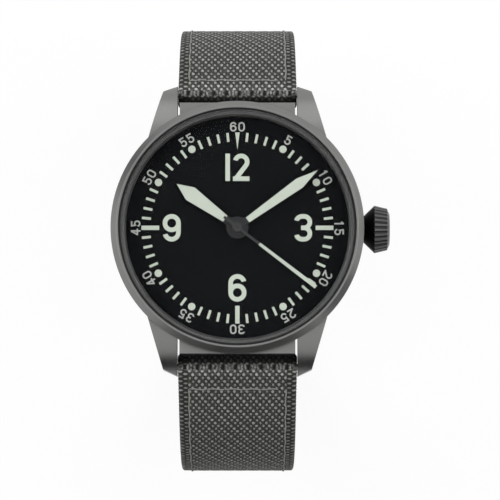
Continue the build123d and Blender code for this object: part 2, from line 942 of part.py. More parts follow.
def barrel_bridge():
    """The bridge over the barrel, with the crown wheel's post."""
    low, high = barrel_bridge_low, barrel_bridge_high
    crown_wheel_at = (crown_wheel_x, 0)
    bridge = link(barrel_at, crown_wheel_at, cock_w, low, high)
    bridge += link(barrel_at, barrel_foot, cock_w, low, high)
    bridge += link(barrel_at, barrel_foot_2, cock_w, low, high)
    bridge += disc(crown_post_r, high, crown_wheel_high, crown_wheel_at)
    bridge += disc(click_post_r, high, click_low + click_t, click_at)
    bridge += link(barrel_foot, click_at, 2 * post_r, low, high)
    for foot in (barrel_foot, barrel_foot_2):
        bridge += disc(post_r, high, plate_low, foot)
        bridge -= screw_hole(foot)
    return bridge - disc(arbor_pivot_r + fit, low + seat_gap, high + overrun, barrel_at)


def balance_cock():
    """The cock over the balance, with the stud that holds the hairspring's end."""
    low, high = bridge_low, bridge_high
    cock = link(balance_at, cock_foot, cock_w, low, high)
    cock += disc(post_r, high, plate_low, cock_foot)
    stud_at = hair_end()
    cock += link(balance_at, stud_at, 2 * stud_w, low, high)
    cock += disc(stud_w, high, hair_low + hair_t, stud_at)
    return cock - screw_hole(cock_foot) - pivot_seat(balance_at, high, -1)


def pallet_bridge():
    """The small bridge under the pallet fork, on one foot."""
    low, high = pallet_bridge_low, pallet_bridge_high
    bridge = link(pallet_at, pallet_foot, pallet_bridge_w, low, high)
    bridge += disc(pallet_foot_r, high, plate_low, pallet_foot)
    return bridge - disc(pallet_staff_r + pivot_gap, low + seat_gap, high + overrun, pallet_at)


def bridge_screws():
    """The slotted screws that hold the bridges."""
    screws = []
    for at, seat in screw_places:
        screw = disc(screw_head_r, seat - screw_head_t, seat, at) + disc(screw_r, seat, screw_end, at)
        across = (at[0] - screw_head_r - overrun, at[0] + screw_head_r + overrun)
        width = (at[1] - screw_slot / 2, at[1] + screw_slot / 2)
        depth = (seat - screw_head_t - overrun, seat - screw_head_t / 2)
        screws.append(screw - block(across, width, depth))
    return Compound(children=screws)


def jewels():
    """The bearing jewels in the main plate, the train bridge and the cock."""
    inner = pivot_r + pivot_gap
    places = [(at, plate_low, plate_low + jewel_t) for at in (third_at, escape_at, pallet_at, balance_at)]
    places += [(at, bridge_high - jewel_t, bridge_high) for at in (third_at, escape_at, balance_at)]
    stones = [ring(jewel_r, inner, low, high, at) for at, low, high in places]
    centre = ring(jewel_r, fourth_arbor_r + pivot_gap, bridge_high - jewel_t, bridge_high)
    return Compound(children=stones + [centre])


# Going train

centre_wheel_phase = 0.0
centre_pinion_phase = meshed_phase(barrel_teeth, 0.0, barrel_at, centre_pinion_teeth, (0, 0))
third_pinion_phase = meshed_phase(centre_teeth, centre_wheel_phase, (0, 0), third_pinion_teeth, third_at)
fourth_pinion_phase = meshed_phase(third_teeth, 0.0, third_at, fourth_pinion_teeth, (0, 0))
escape_pinion_phase = meshed_phase(fourth_teeth, 0.0, (0, 0), escape_pinion_teeth, escape_at)


def barrel():
    """The barrel: a toothed drum with its wall and lid, open round the arbor."""
    bore = arbor_core_r + pivot_gap
    tooth_high = barrel_tooth_low + barrel_tooth_t
    room_low, room_high = barrel_low + barrel_wall, barrel_high - barrel_wall
    drum = ring(barrel_drum_r, arbor_pivot_r + pivot_gap, barrel_low, barrel_high, barrel_at)
    drum -= disc(barrel_drum_r - barrel_wall, room_low, room_high, barrel_at)
    rim = barrel_drum_r - fit
    teeth = gear(barrel_teeth, barrel_module, barrel_tooth_low, tooth_high, barrel_at, bore=rim)
    return drum + teeth - ring(bore, arbor_pivot_r, room_low, room_high, barrel_at)


def mainspring():
    """The wound mainspring in the barrel."""
    low = barrel_low + barrel_wall + spring_gap
    high = barrel_high - barrel_wall - spring_gap
    room = barrel_drum_r - barrel_wall - arbor_core_r - 2 * spring_gap - 2 * spring_strip
    turns = int(room / spring_pitch)
    inner = arbor_core_r + spring_gap + spring_strip
    return spiral(inner, spring_pitch, turns, spring_strip, low, high, barrel_at)


def barrel_arbor():
    """The arbor the mainspring is wound on, with the square for the ratchet wheel."""
    core_low = barrel_low + barrel_wall + fit
    core_high = barrel_high - barrel_wall - fit
    arbor = disc(arbor_pivot_r, barrel_bridge_low + 2 * seat_gap, plate_high - 1.5 * screw_slot, barrel_at)
    arbor += disc(arbor_core_r, core_low, core_high, barrel_at)
    half = arbor_square / 2
    x, y = barrel_at
    square = block((x - half, x + half), (y - half, y + half), (click_low - seat_gap, barrel_low - seat_gap))
    return arbor + square


def centre_wheel():
    """The centre wheel, its pinion and the hollow arbor that carries the cannon pinion."""
    wheel = gear(centre_teeth, centre_module, centre_wheel_low, centre_wheel_low + wheel_t,
                 phase=centre_wheel_phase, holes=5)
    wheel += gear(centre_pinion_teeth, barrel_module, centre_pinion_low, centre_pinion_high,
                  phase=centre_pinion_phase)
    wheel += disc(centre_tube_r, centre_wheel_low, minute_hand_low + minute_hand_t)
    return wheel - disc(centre_bore, centre_wheel_low - overrun, second_hand_low)


def train_arbor(at, low=pivot_start, high=pivot_end, radius=pivot_r):
    """The arbor of a train wheel between its two jewels."""
    body = disc(radius, low, high, at)
    return body + disc(2 * pivot_r, bridge_high + seat_gap, plate_low - seat_gap, at)


def third_wheel():
    """The third wheel and its pinion."""
    wheel = train_arbor(third_at)
    wheel += gear(third_pinion_teeth, centre_module, third_pinion_low, third_pinion_high, third_at,
                  third_pinion_phase)
    rim_high = third_wheel_low + wheel_t
    return wheel + gear(third_teeth, third_module, third_wheel_low, rim_high, third_at, holes=5)


def fourth_wheel():
    """The fourth wheel, whose long arbor carries the second hand."""
    top = second_hand_low + second_boss_t - second_cap_t
    wheel = disc(fourth_arbor_r, pivot_start, top)
    wheel += gear(fourth_pinion_teeth, third_module, fourth_pinion_low, fourth_pinion_high,
                  phase=fourth_pinion_phase)
    rim_high = fourth_wheel_low + fourth_wheel_t
    wheel += gear(fourth_teeth, fourth_module, fourth_wheel_low, rim_high, holes=5)
    return wheel + disc(2 * pivot_r, rim_high - seat_gap, fourth_pinion_low + seat_gap)


def escape_wheel():
    """The escape wheel with its hooked teeth, and its pinion."""
    points = []
    pitch = 360 / escape_teeth
    for tooth in range(escape_teeth):
        middle = tooth * pitch
        points.append(polar(escape_r * escape_root_share, middle - pitch / 2))
        points.append(polar(escape_r * escape_root_share, middle - pitch / 5))
        points.append(polar(escape_r, middle))
        points.append(polar(escape_r, middle + pitch / 8))
    wheel = plate(points, escape_wheel_low, escape_wheel_low + wheel_t)
    for hole in range(4):
        place = polar(escape_r * escape_root_share * 0.55, hole * 90)
        wheel -= disc(escape_r * 0.2, escape_wheel_low - overrun, plate_low, place)
    wheel = Pos(escape_at[0], escape_at[1], 0) * wheel
    wheel += gear(escape_pinion_teeth, fourth_module, escape_pinion_low, escape_pinion_high, escape_at,
                  escape_pinion_phase)
    return wheel + disc(pivot_r, pivot_start, pivot_end, escape_at)


def pallet_fork():
    """The pallet fork with its two stones and its staff."""
    low, high = escape_wheel_low, escape_wheel_low + pallet_t
    body = disc(pallet_arm_w, low, high)
    body += block((0, fork_l - fork_slot_l), (-fork_neck / 2, fork_neck / 2), (low, high))
    head = block((fork_l - fork_slot_l, fork_l + fork_end), (-fork_w / 2, fork_w / 2), (low, high))
    slot = (-fork_slot_w / 2, fork_slot_w / 2)
    body += head - block((fork_l - fork_slot_l / 2, fork_l + overrun), slot, (low - overrun, high + overrun))
    for side in (1, -1):
        x, y = polar(stone_at, side * stone_angle)
        place = (x - pallet_far, y)
        body += link((0, 0), place, pallet_arm_w, low, high)
        stone = Pos(*place, (low + high) / 2) * Rot(0, 0, side * stone_angle)
        body += stone * Box(stone_l, stone_w, high - low)
    body += disc(pallet_staff_r, pallet_bridge_low + 2 * seat_gap, pivot_end)
    return Pos(pallet_at[0], pallet_at[1], 0) * Rot(0, 0, lever_line) * body


def balance_wheel():
    """The balance: rim with its screws, two arms, staff, roller and impulse pin."""
    inner = balance_r - balance_rim
    wheel = ring(balance_r, inner, balance_low, balance_high)
    arms = (-balance_arm_w / 2, balance_arm_w / 2)
    wheel += block((-inner - fit, inner + fit), arms, (balance_low, balance_high))
    for screw in range(balance_screws):
        turn = Rot(0, 0, (screw + 0.5) * 360 / balance_screws)
        middle = (balance_low + balance_high) / 2
        wheel += turn * rod_x(balance_screw_r, inner - balance_screw_l, inner + fit, 0, middle)
    wheel += disc(pivot_r, pivot_start, pivot_end)
    wheel += disc(balance_staff_r, bridge_high + seat_gap, plate_low - seat_gap)
    wheel += disc(hair_in - 2 * spring_gap, hair_low, hair_low + hair_t)
    wheel += disc(roller_r, roller_low, roller_high)
    wheel += disc(impulse_r, roller_high, impulse_high, (-impulse_at, 0))
    return Pos(balance_at[0], balance_at[1], 0) * Rot(0, 0, lever_line) * wheel


def hair_end():
    """Where the hairspring's outer end meets its stud."""
    return balance_at[0] + hair_in + hair_turns * hair_pitch + stud_w + hair_w, balance_at[1]


def hairspring():
    """The flat hairspring of the balance."""
    return spiral(hair_in, hair_pitch, hair_turns, hair_w, hair_low, hair_low + hair_t, balance_at)


# Motion work

minute_wheel_phase = meshed_phase(cannon_teeth, 0.0, (0, 0), minute_wheel_teeth, motion_at)
hour_wheel_phase = meshed_phase(minute_pinion_teeth, 0.0, motion_at, hour_teeth, (0, 0))


def cannon_pinion():
    """The cannon pinion, whose pipe carries the minute hand."""
    high = minute_hand_low + minute_hand_t
    pinion = gear(cannon_teeth, cannon_module, cannon_low, cannon_tooth_high)
    pinion += disc(cannon_pipe_r, cannon_tooth_high - seat_gap, high)
    return pinion - disc(centre_tube_r, cannon_low - overrun, high + overrun)


def minute_wheel():
    """The minute wheel and its pinion on a post of the main plate."""
    high = minute_wheel_low + wheel_t
    wheel = gear(minute_wheel_teeth, cannon_module, minute_wheel_low, high, motion_at, minute_wheel_phase)
    wheel += gear(minute_pinion_teeth, hour_module, high, minute_pinion_high, motion_at)
    return wheel - disc(motion_post_r + fit, minute_wheel_low - overrun, dial_low, motion_at)


def hour_wheel():
    """The hour wheel, whose pipe carries the hour hand."""
    high = hour_wheel_low + wheel_t
    wheel = gear(hour_teeth, hour_module, hour_wheel_low, high, phase=hour_wheel_phase)
    wheel += disc(hour_pipe_r, hour_wheel_low, hour_hand_low + hour_hand_t)
    return wheel - disc(hour_pipe_in, hour_wheel_low - overrun, minute_hand_low + overrun)


# Winding work

def stem():
    """The winding stem: pivot, square, groove and the end that screws into the crown."""
    thread_out = tube_out + crown_travel + stem_thread_l
    body = turned_x(
        [
            (stem_in, 0),
            (stem_in, stem_pivot_r),
            (stem_in + stem_pivot_l, stem_pivot_r),
            (stem_in + stem_pivot_l, stem_square / 2),
            (wind_in, stem_square / 2),
            (wind_in, stem_r),
            (groove_x - groove_w / 2, stem_r),
            (groove_x - groove_w / 2, groove_r),
            (groove_x + groove_w / 2, groove_r),
            (groove_x + groove_w / 2, stem_r),
            (thread_out, stem_r),
            (thread_out, 0),
        ]
    )
    half = stem_square / 2
    length = (stem_in + stem_pivot_l, wind_in)
    return body + block(length, (-half, half), (stem_z - half, stem_z + half))


def crown():
    """The onion crown: a dark cone, a tapered fluted barrel and a shallow domed end."""
    cone_out = crown_base + crown_cone_l
    barrel_out = cone_out + crown_barrel_l
    end = barrel_out + crown_dome_l
    body = turned_x(
        [
            (crown_base, 0),
            (crown_base, crown_neck_r),
            (cone_out, crown_r),
            (barrel_out, crown_end_r),
            (end, crown_dome_r),
            (end, 0),
        ]
    )
    taper = math.degrees(math.atan2(crown_r - crown_end_r, crown_barrel_l))
    for flute in range(crown_flutes):
        middle = Pos((cone_out + barrel_out) / 2, 0, (crown_r + crown_end_r) / 2 + crown_flute_r / 3)
        cutter = Rot(0, 90 + taper, 0) * Cylinder(crown_flute_r, 2 * crown_barrel_l)
        body -= Pos(0, 0, stem_z) * Rot(flute * 360 / crown_flutes, 0, 0) * middle * cutter
    bore_r = tube_r + crown_bore_gap
    body -= rod_x(bore_r, crown_base - overrun, tube_out + seat_gap)
    groove = (crown_base + crown_gasket_l, crown_base + 2 * crown_gasket_l)
    body -= rod_x(tube_r + crown_gasket_w + fit, *groove)
    return body - rod_x(stem_r, crown_base, tube_out + crown_travel + stem_thread_l)


def crown_gasket():
    """The seal in the crown that runs on the tube."""
    low, high = crown_base + crown_gasket_l + fit, crown_base + 2 * crown_gasket_l - fit
    return rod_x(tube_r + crown_gasket_w, low, high) - rod_x(tube_r + fit, low - overrun, high + overrun)


def crown_tube():
    """The tube pressed into the case that the crown slides on."""
    return rod_x(tube_r, tube_in, tube_out) - rod_x(tube_bore, tube_in - overrun, tube_out + overrun)


def square_hole(start, end):
    """The square hole that slides on the stem's square."""
    half = stem_square / 2 + fit
    return block((start - overrun, end + overrun), (-half, half), (stem_z - half, stem_z + half))


def sliding_clutch():
    """The clutch that slides on the stem's square, with the yoke's groove round it."""
    middle = (clutch_in + clutch_out) / 2
    half = clutch_groove_w / 2
    body = turned_x(
        [
            (clutch_in, 0),
            (clutch_in, clutch_r),
            (middle - half, clutch_r),
            (middle - half, clutch_groove_r),
            (middle + half, clutch_groove_r),
            (middle + half, clutch_r),
            (clutch_out, clutch_r),
            (clutch_out, 0),
        ]
    )
    return body - square_hole(clutch_in, clutch_out)


def winding_pinion():
    """The winding pinion, whose teeth stand in the crown wheel's face teeth."""
    root = wind_r - wind_tooth_h
    body = rod_x(root, wind_in, wind_out)
    tooth_w = wind_tooth_share * 2 * math.pi * wind_r / wind_teeth
    for tooth in range(wind_teeth):
        height = (root - wind_tooth_h, wind_r + wind_tooth_h)
        bar = block((wind_in, wind_out), (-tooth_w / 2, tooth_w / 2), height)
        body += Pos(0, 0, stem_z) * Rot((tooth + 0.5) * 360 / wind_teeth, 0, 0) * bar
    return body - rod_x(stem_r + fit, wind_in - overrun, wind_out + overrun)


def crown_wheel():
    """The crown wheel: spur teeth for the ratchet wheel, face teeth for the winding pinion."""
    at = (crown_wheel_x, 0)
    phase = meshed_phase(ratchet_teeth, 0.0, barrel_at, crown_wheel_teeth, at)
    wheel = gear(crown_wheel_teeth, ratchet_module, crown_wheel_low, crown_wheel_high, at, phase,
                 crown_post_r + fit)
    face_teeth = wind_teeth * 2
    tooth_w = wind_tooth_share * 2 * math.pi * face_tooth_r / face_teeth
    tooth_high = stem_z - wind_r + face_tooth_gap
    half = face_tooth_l / 2
    length = (face_tooth_r - half, face_tooth_r + half)
    for tooth in range(face_teeth):
        bar = block(length, (-tooth_w / 2, tooth_w / 2), (crown_wheel_high, tooth_high))
        wheel += Pos(crown_wheel_x, 0, 0) * Rot(0, 0, tooth * 360 / face_teeth) * bar
    return wheel


def ratchet_wheel():
    """The ratchet wheel on the barrel arbor's square."""
    wheel = gear(ratchet_teeth, ratchet_module, crown_wheel_low, crown_wheel_high, barrel_at)
    half = arbor_square / 2
    x, y = barrel_at
    hole = (crown_wheel_low - overrun, crown_wheel_high + overrun)
    return wheel - block((x - half, x + half), (y - half, y + half), hole)


click_far = ratchet_tip + click_gap + click_w / 2
click_nose = tuple(a + b for a, b in zip(barrel_at, polar(click_far, click_turn)))
click_at = tuple(a + b for a, b in zip(click_nose, polar(click_l, click_turn + 70)))
click_post_r = click_w / 4


def click():
    """The click that lies on the ratchet wheel's teeth."""
    lever = link(click_nose, click_at, click_w, click_low, click_low + click_t)
    return lever - disc(click_post_r + fit, click_low - overrun, click_low + overrun, click_at)


def setting_lever():
    """The lever whose pin stands in the stem's groove."""
    low, high = lever_low, lever_low + lever_t
    x, y = setting_lever_at
    arm_end = stem_r + lever_w / 2 + seat_gap
    arm = link((x, arm_end + lever_w / 2), setting_lever_at, lever_w, low, high)
    arm += link((x, setting_pin_y), (x, arm_end + lever_w / 2), 2 * setting_pin_r, low, high)
    return arm - disc(lever_post_r + fit, low - overrun, high + overrun, setting_lever_at)


def yoke():
    """The yoke whose finger stands in the clutch's groove."""
    low, high = lever_low, lever_low + lever_t
    x, y = yoke_at
    tip = clutch_groove_r + seat_gap
    arm = link((x, clutch_r + lever_w / 2 + yoke_finger_w), yoke_at, lever_w, low, high)
    arm += block((x - yoke_finger_w / 2, x + yoke_finger_w / 2), (tip, tip + yoke_finger_l), (low, high))
    return arm - disc(lever_post_r + fit, low - overrun, high + overrun, yoke_at)


# Strap: its halves are drawn from the side, y to the right and z up

def route_points(start, heading, route, aside):
    """Edges of a line beside a route of runs and clockwise bends, and the place and heading at its end."""
    edges = []
    place = start
    for kind, *sizes in route:
        ahead = polar(1, heading)
        left = polar(1, heading + 90)
        if kind == "run":
            end = tuple(p + sizes[0] * a for p, a in zip(place, ahead))
            edges.append(Line(beside(place, left, aside), beside(end, left, aside)))
            place = end
            continue
        radius, turn = sizes
        middle = tuple(p - radius * n for p, n in zip(place, left))
        spots = [polar(radius + aside, heading + 90 - share * turn) for share in (0, 0.5, 1)]
        edges.append(ThreePointArc(*[(middle[0] + x, middle[1] + y) for x, y in spots]))
        heading -= turn
        place = beside(middle, polar(1, heading + 90), radius)
    return edges, place, heading


def beside(place, way, far):
    """A place moved along a direction."""
    return place[0] + far * way[0], place[1] + far * way[1]


def along(start, heading, route, length):
    """The place and heading after a length of a route."""
    part = []
    left = length
    for kind, *sizes in route:
        whole = sizes[0] if kind == "run" else sizes[0] * math.radians(sizes[1])
        share = min(1.0, left / whole)
        part.append((kind, sizes[0] * share) if kind == "run" else (kind, sizes[0], sizes[1] * share))
        left -= whole
        if left <= 0:
            break
    return route_points(start, heading, part, 0)[1:]


def route_length(route):
    """The length of a route."""
    return sum(s[0] if kind == "run" else s[0] * math.radians(s[1]) for kind, *s in route)


def band(route, low, high):
    """The side view of a layer that lies between two distances outside its route."""
    outside, out_end, _ = route_points((bar_y, bar_z), -strap_leave_angle, route, high)
    inside, in_end, _ = route_points((bar_y, bar_z), -strap_leave_angle, route, low)
    ends = [Line(outside[0] @ 0, inside[0] @ 0), Line(outside[-1] @ 1, inside[-1] @ 1)]
    return make_face(Curve() + outside + inside + ends)


def tapered(side_view, end_z):
    """A side view made solid, its width tapering from the lugs down to a height."""
    solid = extrude(Plane.YZ * side_view, strap_w, (1, 0, 0), both=True)
    slope = (strap_w - strap_end_w) / 2 / (bar_z - end_z)
    above, below = lug_tip_y, long_reach
    top, bottom = strap_w / 2 + slope * above, strap_end_w / 2 - slope * below
    corners = [(-top, bar_z + above), (top, bar_z + above)]
    corners += [(bottom, end_z - below), (-bottom, end_z - below)]
    wedge = make_face(Polyline(*corners, close=True))
    return solid & extrude(Plane.XZ * wedge, 2 * long_reach, (0, 1, 0), both=True)


def first_bend(reach):
    """The radius with which a half leaves its spring bar and turns straight down at its reach."""
    return (reach - shell_t - bar_y) / (1 - math.sin(math.radians(strap_leave_angle)))


short_route = [
    ("bend", first_bend(short_reach), 90 - strap_leave_angle),
    ("run", short_drop),
    ("bend", short_bend_r, 90.0),
    ("run", short_flat),
]
long_route = [
    ("bend", first_bend(long_reach), 90 - strap_leave_angle),
    ("bend", long_bend_r, 90.0),
    ("run", long_flat),
    ("bend", long_tail_r, long_tail_angle),
]
buckle_at, _ = along((bar_y, bar_z), -strap_leave_angle, short_route, route_length(short_route))
long_bottom = along((bar_y, bar_z), -strap_leave_angle, long_route, route_length(long_route[:3]))[0][1]


def across(radius, place):
    """A cylinder across the strap at a (y, z) place."""
    return rod_x(radius, -strap_w, strap_w, place[0], place[1])


def strap_short():
    """The outer layer of the 12 o'clock half, folded round its spring bar and the buckle's bar."""
    view = band(short_route, 0, shell_t)
    view += Pos(bar_y, bar_z) * Circle(loop_r) + Pos(*buckle_at) * Circle(buckle_loop_r)
    half = tapered(view, buckle_at[1])
    half -= across(bar_r + loop_gap, (bar_y, bar_z)) + across(buckle_bar_r + loop_gap, buckle_at)
    return half - tongue_slot()


def tongue_slot():
    """The slot in the short half's end where the tongue sits on its bar."""
    half = tongue_w / 2 + tongue_slot_gap
    y, z = buckle_at
    length = (y - 2 * overrun - shell_t, y + tongue_slot_l)
    return block((-half, half), length, (z - tongue_slot_h, z + tongue_slot_h))


def strap_short_lining():
    """The inner layer of the 12 o'clock half."""
    half = tapered(band(short_route, -lining_t, 0), buckle_at[1])
    half -= across(loop_r + lining_gap, (bar_y, bar_z)) + across(buckle_loop_r + lining_gap, buckle_at)
    return half - tongue_slot()


def turned_back(half):
    """A half drawn on the 12 o'clock side, mirrored to the 6 o'clock side."""
    return mirror(half, Plane.XZ)


def tail_cut():
    """What is cut off the long half's end to round it."""
    place, heading = along((bar_y, bar_z), -strap_leave_angle, long_route, route_length(long_route))
    half = strap_w / 2
    arc = ThreePointArc((-half, -tail_round), (0, 0), (half, -tail_round))
    sides = Polyline((half, -tail_round), (half, overrun), (-half, overrun), (-half, -tail_round))
    ahead, out = polar(1, heading), polar(1, heading + 90)
    plane = Plane(origin=(0, *place), x_dir=(1, 0, 0), z_dir=(0, -out[0], -out[1]))
    sign = 1 if plane.y_dir.Y * ahead[0] + plane.y_dir.Z * ahead[1] > 0 else -1
    outline = make_face(Curve() + arc + sides)
    outline = outline if sign > 0 else mirror(outline, Plane.XZ)
    return extrude(plane * outline, 3 * shell_t, both=True)


def strap_holes():
    """The buckle holes along the long half."""
    length = route_length(long_route)
    holes = []
    for hole in range(hole_count):
        spot = length - hole_first - hole * hole_pitch
        place, heading = along((bar_y, bar_z), -strap_leave_angle, long_route, spot)
        out = polar(1, heading + 90)
        plane = Plane(origin=(0, *place), z_dir=(0, *out))
        holes.append(plane * Cylinder(hole_r, 4 * shell_t))
    return holes


def long_half(view):
    """A layer of the 6 o'clock half with its rounded end and holes, on the 6 o'clock side."""
    half = tapered(view, long_bottom) - across(bar_r + loop_gap, (bar_y, bar_z)) - tail_cut()
    for hole in strap_holes():
        half -= hole
    return half


def strap_long():
    """The outer layer of the 6 o'clock half, folded round its spring bar."""
    return turned_back(long_half(band(long_route, 0, shell_t) + Pos(bar_y, bar_z) * Circle(loop_r)))


def strap_long_lining():
    """The inner layer of the 6 o'clock half."""
    half = long_half(band(long_route, -lining_t, 0))
    return turned_back(half - across(loop_r + lining_gap, (bar_y, bar_z)))


def spring_bar(y):
    """A spring bar with its two pins in the lugs."""
    half = (lug_gap - bar_gap) / 2
    reach = lug_gap / 2 + bar_pin_l
    return rod_x(bar_r, -half, half, y, bar_z) + rod_x(bar_pin_r, -reach, reach, y, bar_z)


def keeper(start, slack):
    """A textile keeper round the short half, with room for the long half's end."""
    y, z = buckle_at
    inner_high = z + lining_t + slack
    inner_low = z - shell_t - keeper_room
    half = strap_end_w / 2 + keeper_gap
    length = (y + start, y + start + keeper_w)
    outer = block((-half - keeper_t, half + keeper_t), length, (inner_low - keeper_t, inner_high + keeper_t))
    room = (y + start - overrun, y + start + keeper_w + overrun)
    return outer - block((-half, half), room, (inner_low, inner_high))


def buckle_frame():
    """The buckle's frame: two arms from the bar to a rounded front."""
    y, z = buckle_at
    half = buckle_w / 2
    outline = Pos(0, y + (buckle_back - buckle_l) / 2) * RectangleRounded(
        buckle_w, buckle_l + buckle_back, buckle_round
    )
    frame = Pos(0, 0, z - buckle_t / 2) * extrude(outline, buckle_t, (0, 0, 1))
    frame = chamfer(frame.edges().group_by(Axis.Z)[0] + frame.edges().group_by(Axis.Z)[-1], buckle_edge)
    inner = strap_end_w / 2 + buckle_arm_gap
    front = y - buckle_l + buckle_front_w
    frame -= block((-inner, inner), (front, y + half), (z - buckle_t, z + buckle_t))
    return frame - across(buckle_bar_r, buckle_at)


def buckle_bar():
    """The bar across the buckle's arms."""
    inner = strap_end_w / 2 + buckle_arm_gap
    reach = (inner + buckle_w / 2) / 2
    return rod_x(buckle_bar_r, -reach - buckle_bar_r, reach + buckle_bar_r, *buckle_at)


def buckle_tongue():
    """The tongue on its bar, lying on the outer side of the buckle's front."""
    y, z = buckle_at
    half = tongue_w / 2
    loop = rod_x(tongue_loop_r, -half, half, y, z)
    seat = z - buckle_t / 2 - tongue_seat
    tip = y - buckle_l - tongue_out
    side = [
        (y, z - tongue_loop_r + tongue_t),
        (y - tongue_bend_y, seat),
        (tip, seat),
        (tip, seat - tongue_t * 0.6),
        (tip + tongue_out, seat - tongue_t),
        (y - tongue_bend_y, seat - tongue_t),
        (y, z - tongue_loop_r),
    ]
    arm = extrude(Plane.YZ * make_face(Polyline(*side, close=True)), half, (1, 0, 0), both=True)
    return loop + arm - rod_x(buckle_bar_r + loop_gap, -strap_w, strap_w, y, z)


PIECES = {
    "case_middle": case_middle,
    "bezel": bezel,
    "crystal": crystal,
    "crystal_gasket": crystal_gasket,
    "dial_ring": dial_ring,
    "case_back": case_back,
    "case_back_gasket": case_back_gasket,
    "crown_tube": crown_tube,
    "movement_ring": movement_ring,
    "dial": dial,
    "dial_markers": dial_markers,
    "hour_numerals": hour_numerals,
    "minute_numerals": minute_numerals,
    "hour_hand": lambda: blade(hour_shape, hour_hand_low, hour_hand_t, hour_boss_r, hour_pipe_r, hour_turn),
    "hour_hand_lume": lambda: filling(hour_shape, hour_hand_low, hour_hand_t, hour_turn),
    "minute_hand": lambda: blade(
        minute_shape, minute_hand_low, minute_hand_t, minute_boss_r, cannon_pipe_r, minute_turn
    ),
    "minute_hand_lume": lambda: filling(minute_shape, minute_hand_low, minute_hand_t, minute_turn),
    "second_hand": second_hand,
    "second_hand_lume": second_hand_lume,
    "mainplate": mainplate,
    "barrel_bridge": barrel_bridge,
    "train_bridge": train_bridge,
    "balance_cock": balance_cock,
    "pallet_bridge": pallet_bridge,
    "bridge_screws": bridge_screws,
    "jewels": jewels,
    "barrel": barrel,
    "mainspring": mainspring,
    "barrel_arbor": barrel_arbor,
    "centre_wheel": centre_wheel,
    "third_wheel": third_wheel,
    "fourth_wheel": fourth_wheel,
    "escape_wheel": escape_wheel,
    "pallet_fork": pallet_fork,
    "balance_wheel": balance_wheel,
    "hairspring": hairspring,
    "cannon_pinion": cannon_pinion,
    "minute_wheel": minute_wheel,
    "hour_wheel": hour_wheel,
    "stem": stem,
    "crown": crown,
    "crown_gasket": crown_gasket,
    "winding_pinion": winding_pinion,
    "sliding_clutch": sliding_clutch,
    "setting_lever": setting_lever,
    "yoke": yoke,
    "crown_wheel": crown_wheel,
    "ratchet_wheel": ratchet_wheel,
    "click": click,
    "spring_bar_12": lambda: spring_bar(bar_y),
    "spring_bar_6": lambda: spring_bar(-bar_y),
    "strap_short": strap_short,
    "strap_short_lining": strap_short_lining,
    "strap_long": strap_long,
    "strap_long_lining": strap_long_lining,
    "keeper_fixed": lambda: keeper(keeper_fixed_y, 0),
    "keeper_free": lambda: keeper(keeper_free_y, keeper_gap / 2),
    "buckle_frame": buckle_frame,
    "buckle_bar": buckle_bar,
    "buckle_tongue": buckle_tongue,
}

os.makedirs("parts", exist_ok=True)
for name, make in PIECES.items():
    export_step(make(), f"parts/{name}.step")
print(len(PIECES), "pieces; buckle bar at", buckle_at, "lowest strap line", long_bottom)
print("short half", route_length(short_route), "long half", route_length(long_route))
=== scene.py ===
# %% [markdown]
# # A pilot watch on a textile strap
# The watch is already a set of exact solids, one for every real piece. Blender's part of the work is the
# look: blasted steel, a black dial under glass, luminous print and a coarse woven strap. Everything is
# in metres and in the solids' own frame: Z points out through the dial, Y to 12 o'clock, X to the crown.

# %% Load the fixed solids
import json
import math
from functools import partial

import bpy
import numpy as np
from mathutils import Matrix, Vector


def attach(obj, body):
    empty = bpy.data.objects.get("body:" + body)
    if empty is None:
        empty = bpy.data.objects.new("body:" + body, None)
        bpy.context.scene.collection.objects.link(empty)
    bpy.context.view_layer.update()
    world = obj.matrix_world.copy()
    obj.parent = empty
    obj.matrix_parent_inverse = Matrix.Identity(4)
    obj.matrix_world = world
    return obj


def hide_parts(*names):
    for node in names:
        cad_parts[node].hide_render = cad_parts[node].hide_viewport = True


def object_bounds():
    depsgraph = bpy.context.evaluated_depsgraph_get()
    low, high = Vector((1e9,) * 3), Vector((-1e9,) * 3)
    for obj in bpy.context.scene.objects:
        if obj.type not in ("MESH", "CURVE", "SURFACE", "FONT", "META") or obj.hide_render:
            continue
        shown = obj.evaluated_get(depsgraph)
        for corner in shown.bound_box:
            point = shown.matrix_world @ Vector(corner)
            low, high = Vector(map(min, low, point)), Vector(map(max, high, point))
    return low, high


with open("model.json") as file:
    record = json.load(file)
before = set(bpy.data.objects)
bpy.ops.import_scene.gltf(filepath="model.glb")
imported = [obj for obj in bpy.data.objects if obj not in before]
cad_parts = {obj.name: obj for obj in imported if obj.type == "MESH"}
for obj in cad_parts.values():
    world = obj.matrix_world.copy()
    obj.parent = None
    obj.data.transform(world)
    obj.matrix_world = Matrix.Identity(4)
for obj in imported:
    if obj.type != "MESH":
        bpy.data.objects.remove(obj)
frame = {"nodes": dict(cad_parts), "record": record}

MM = 0.001
PER_METRE = 1000.0
solids_box = [list(corner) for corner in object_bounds()]


def in_mm(corner):
    return [round(v / MM, 2) for v in corner]


print("solids from", in_mm(solids_box[0]), "to", in_mm(solids_box[1]))

# %% [markdown]
# ## The camera
# The photograph is taken from almost straight above the dial with a long lens, so that nothing looks
# tapered. A long lens far away gives the same: 84.7 degrees above the horizon, 650 mm from the dial.
# The point looked at lies a little below and right of the dial's middle, so that the watch stands in the
# picture where it stands in the photograph.

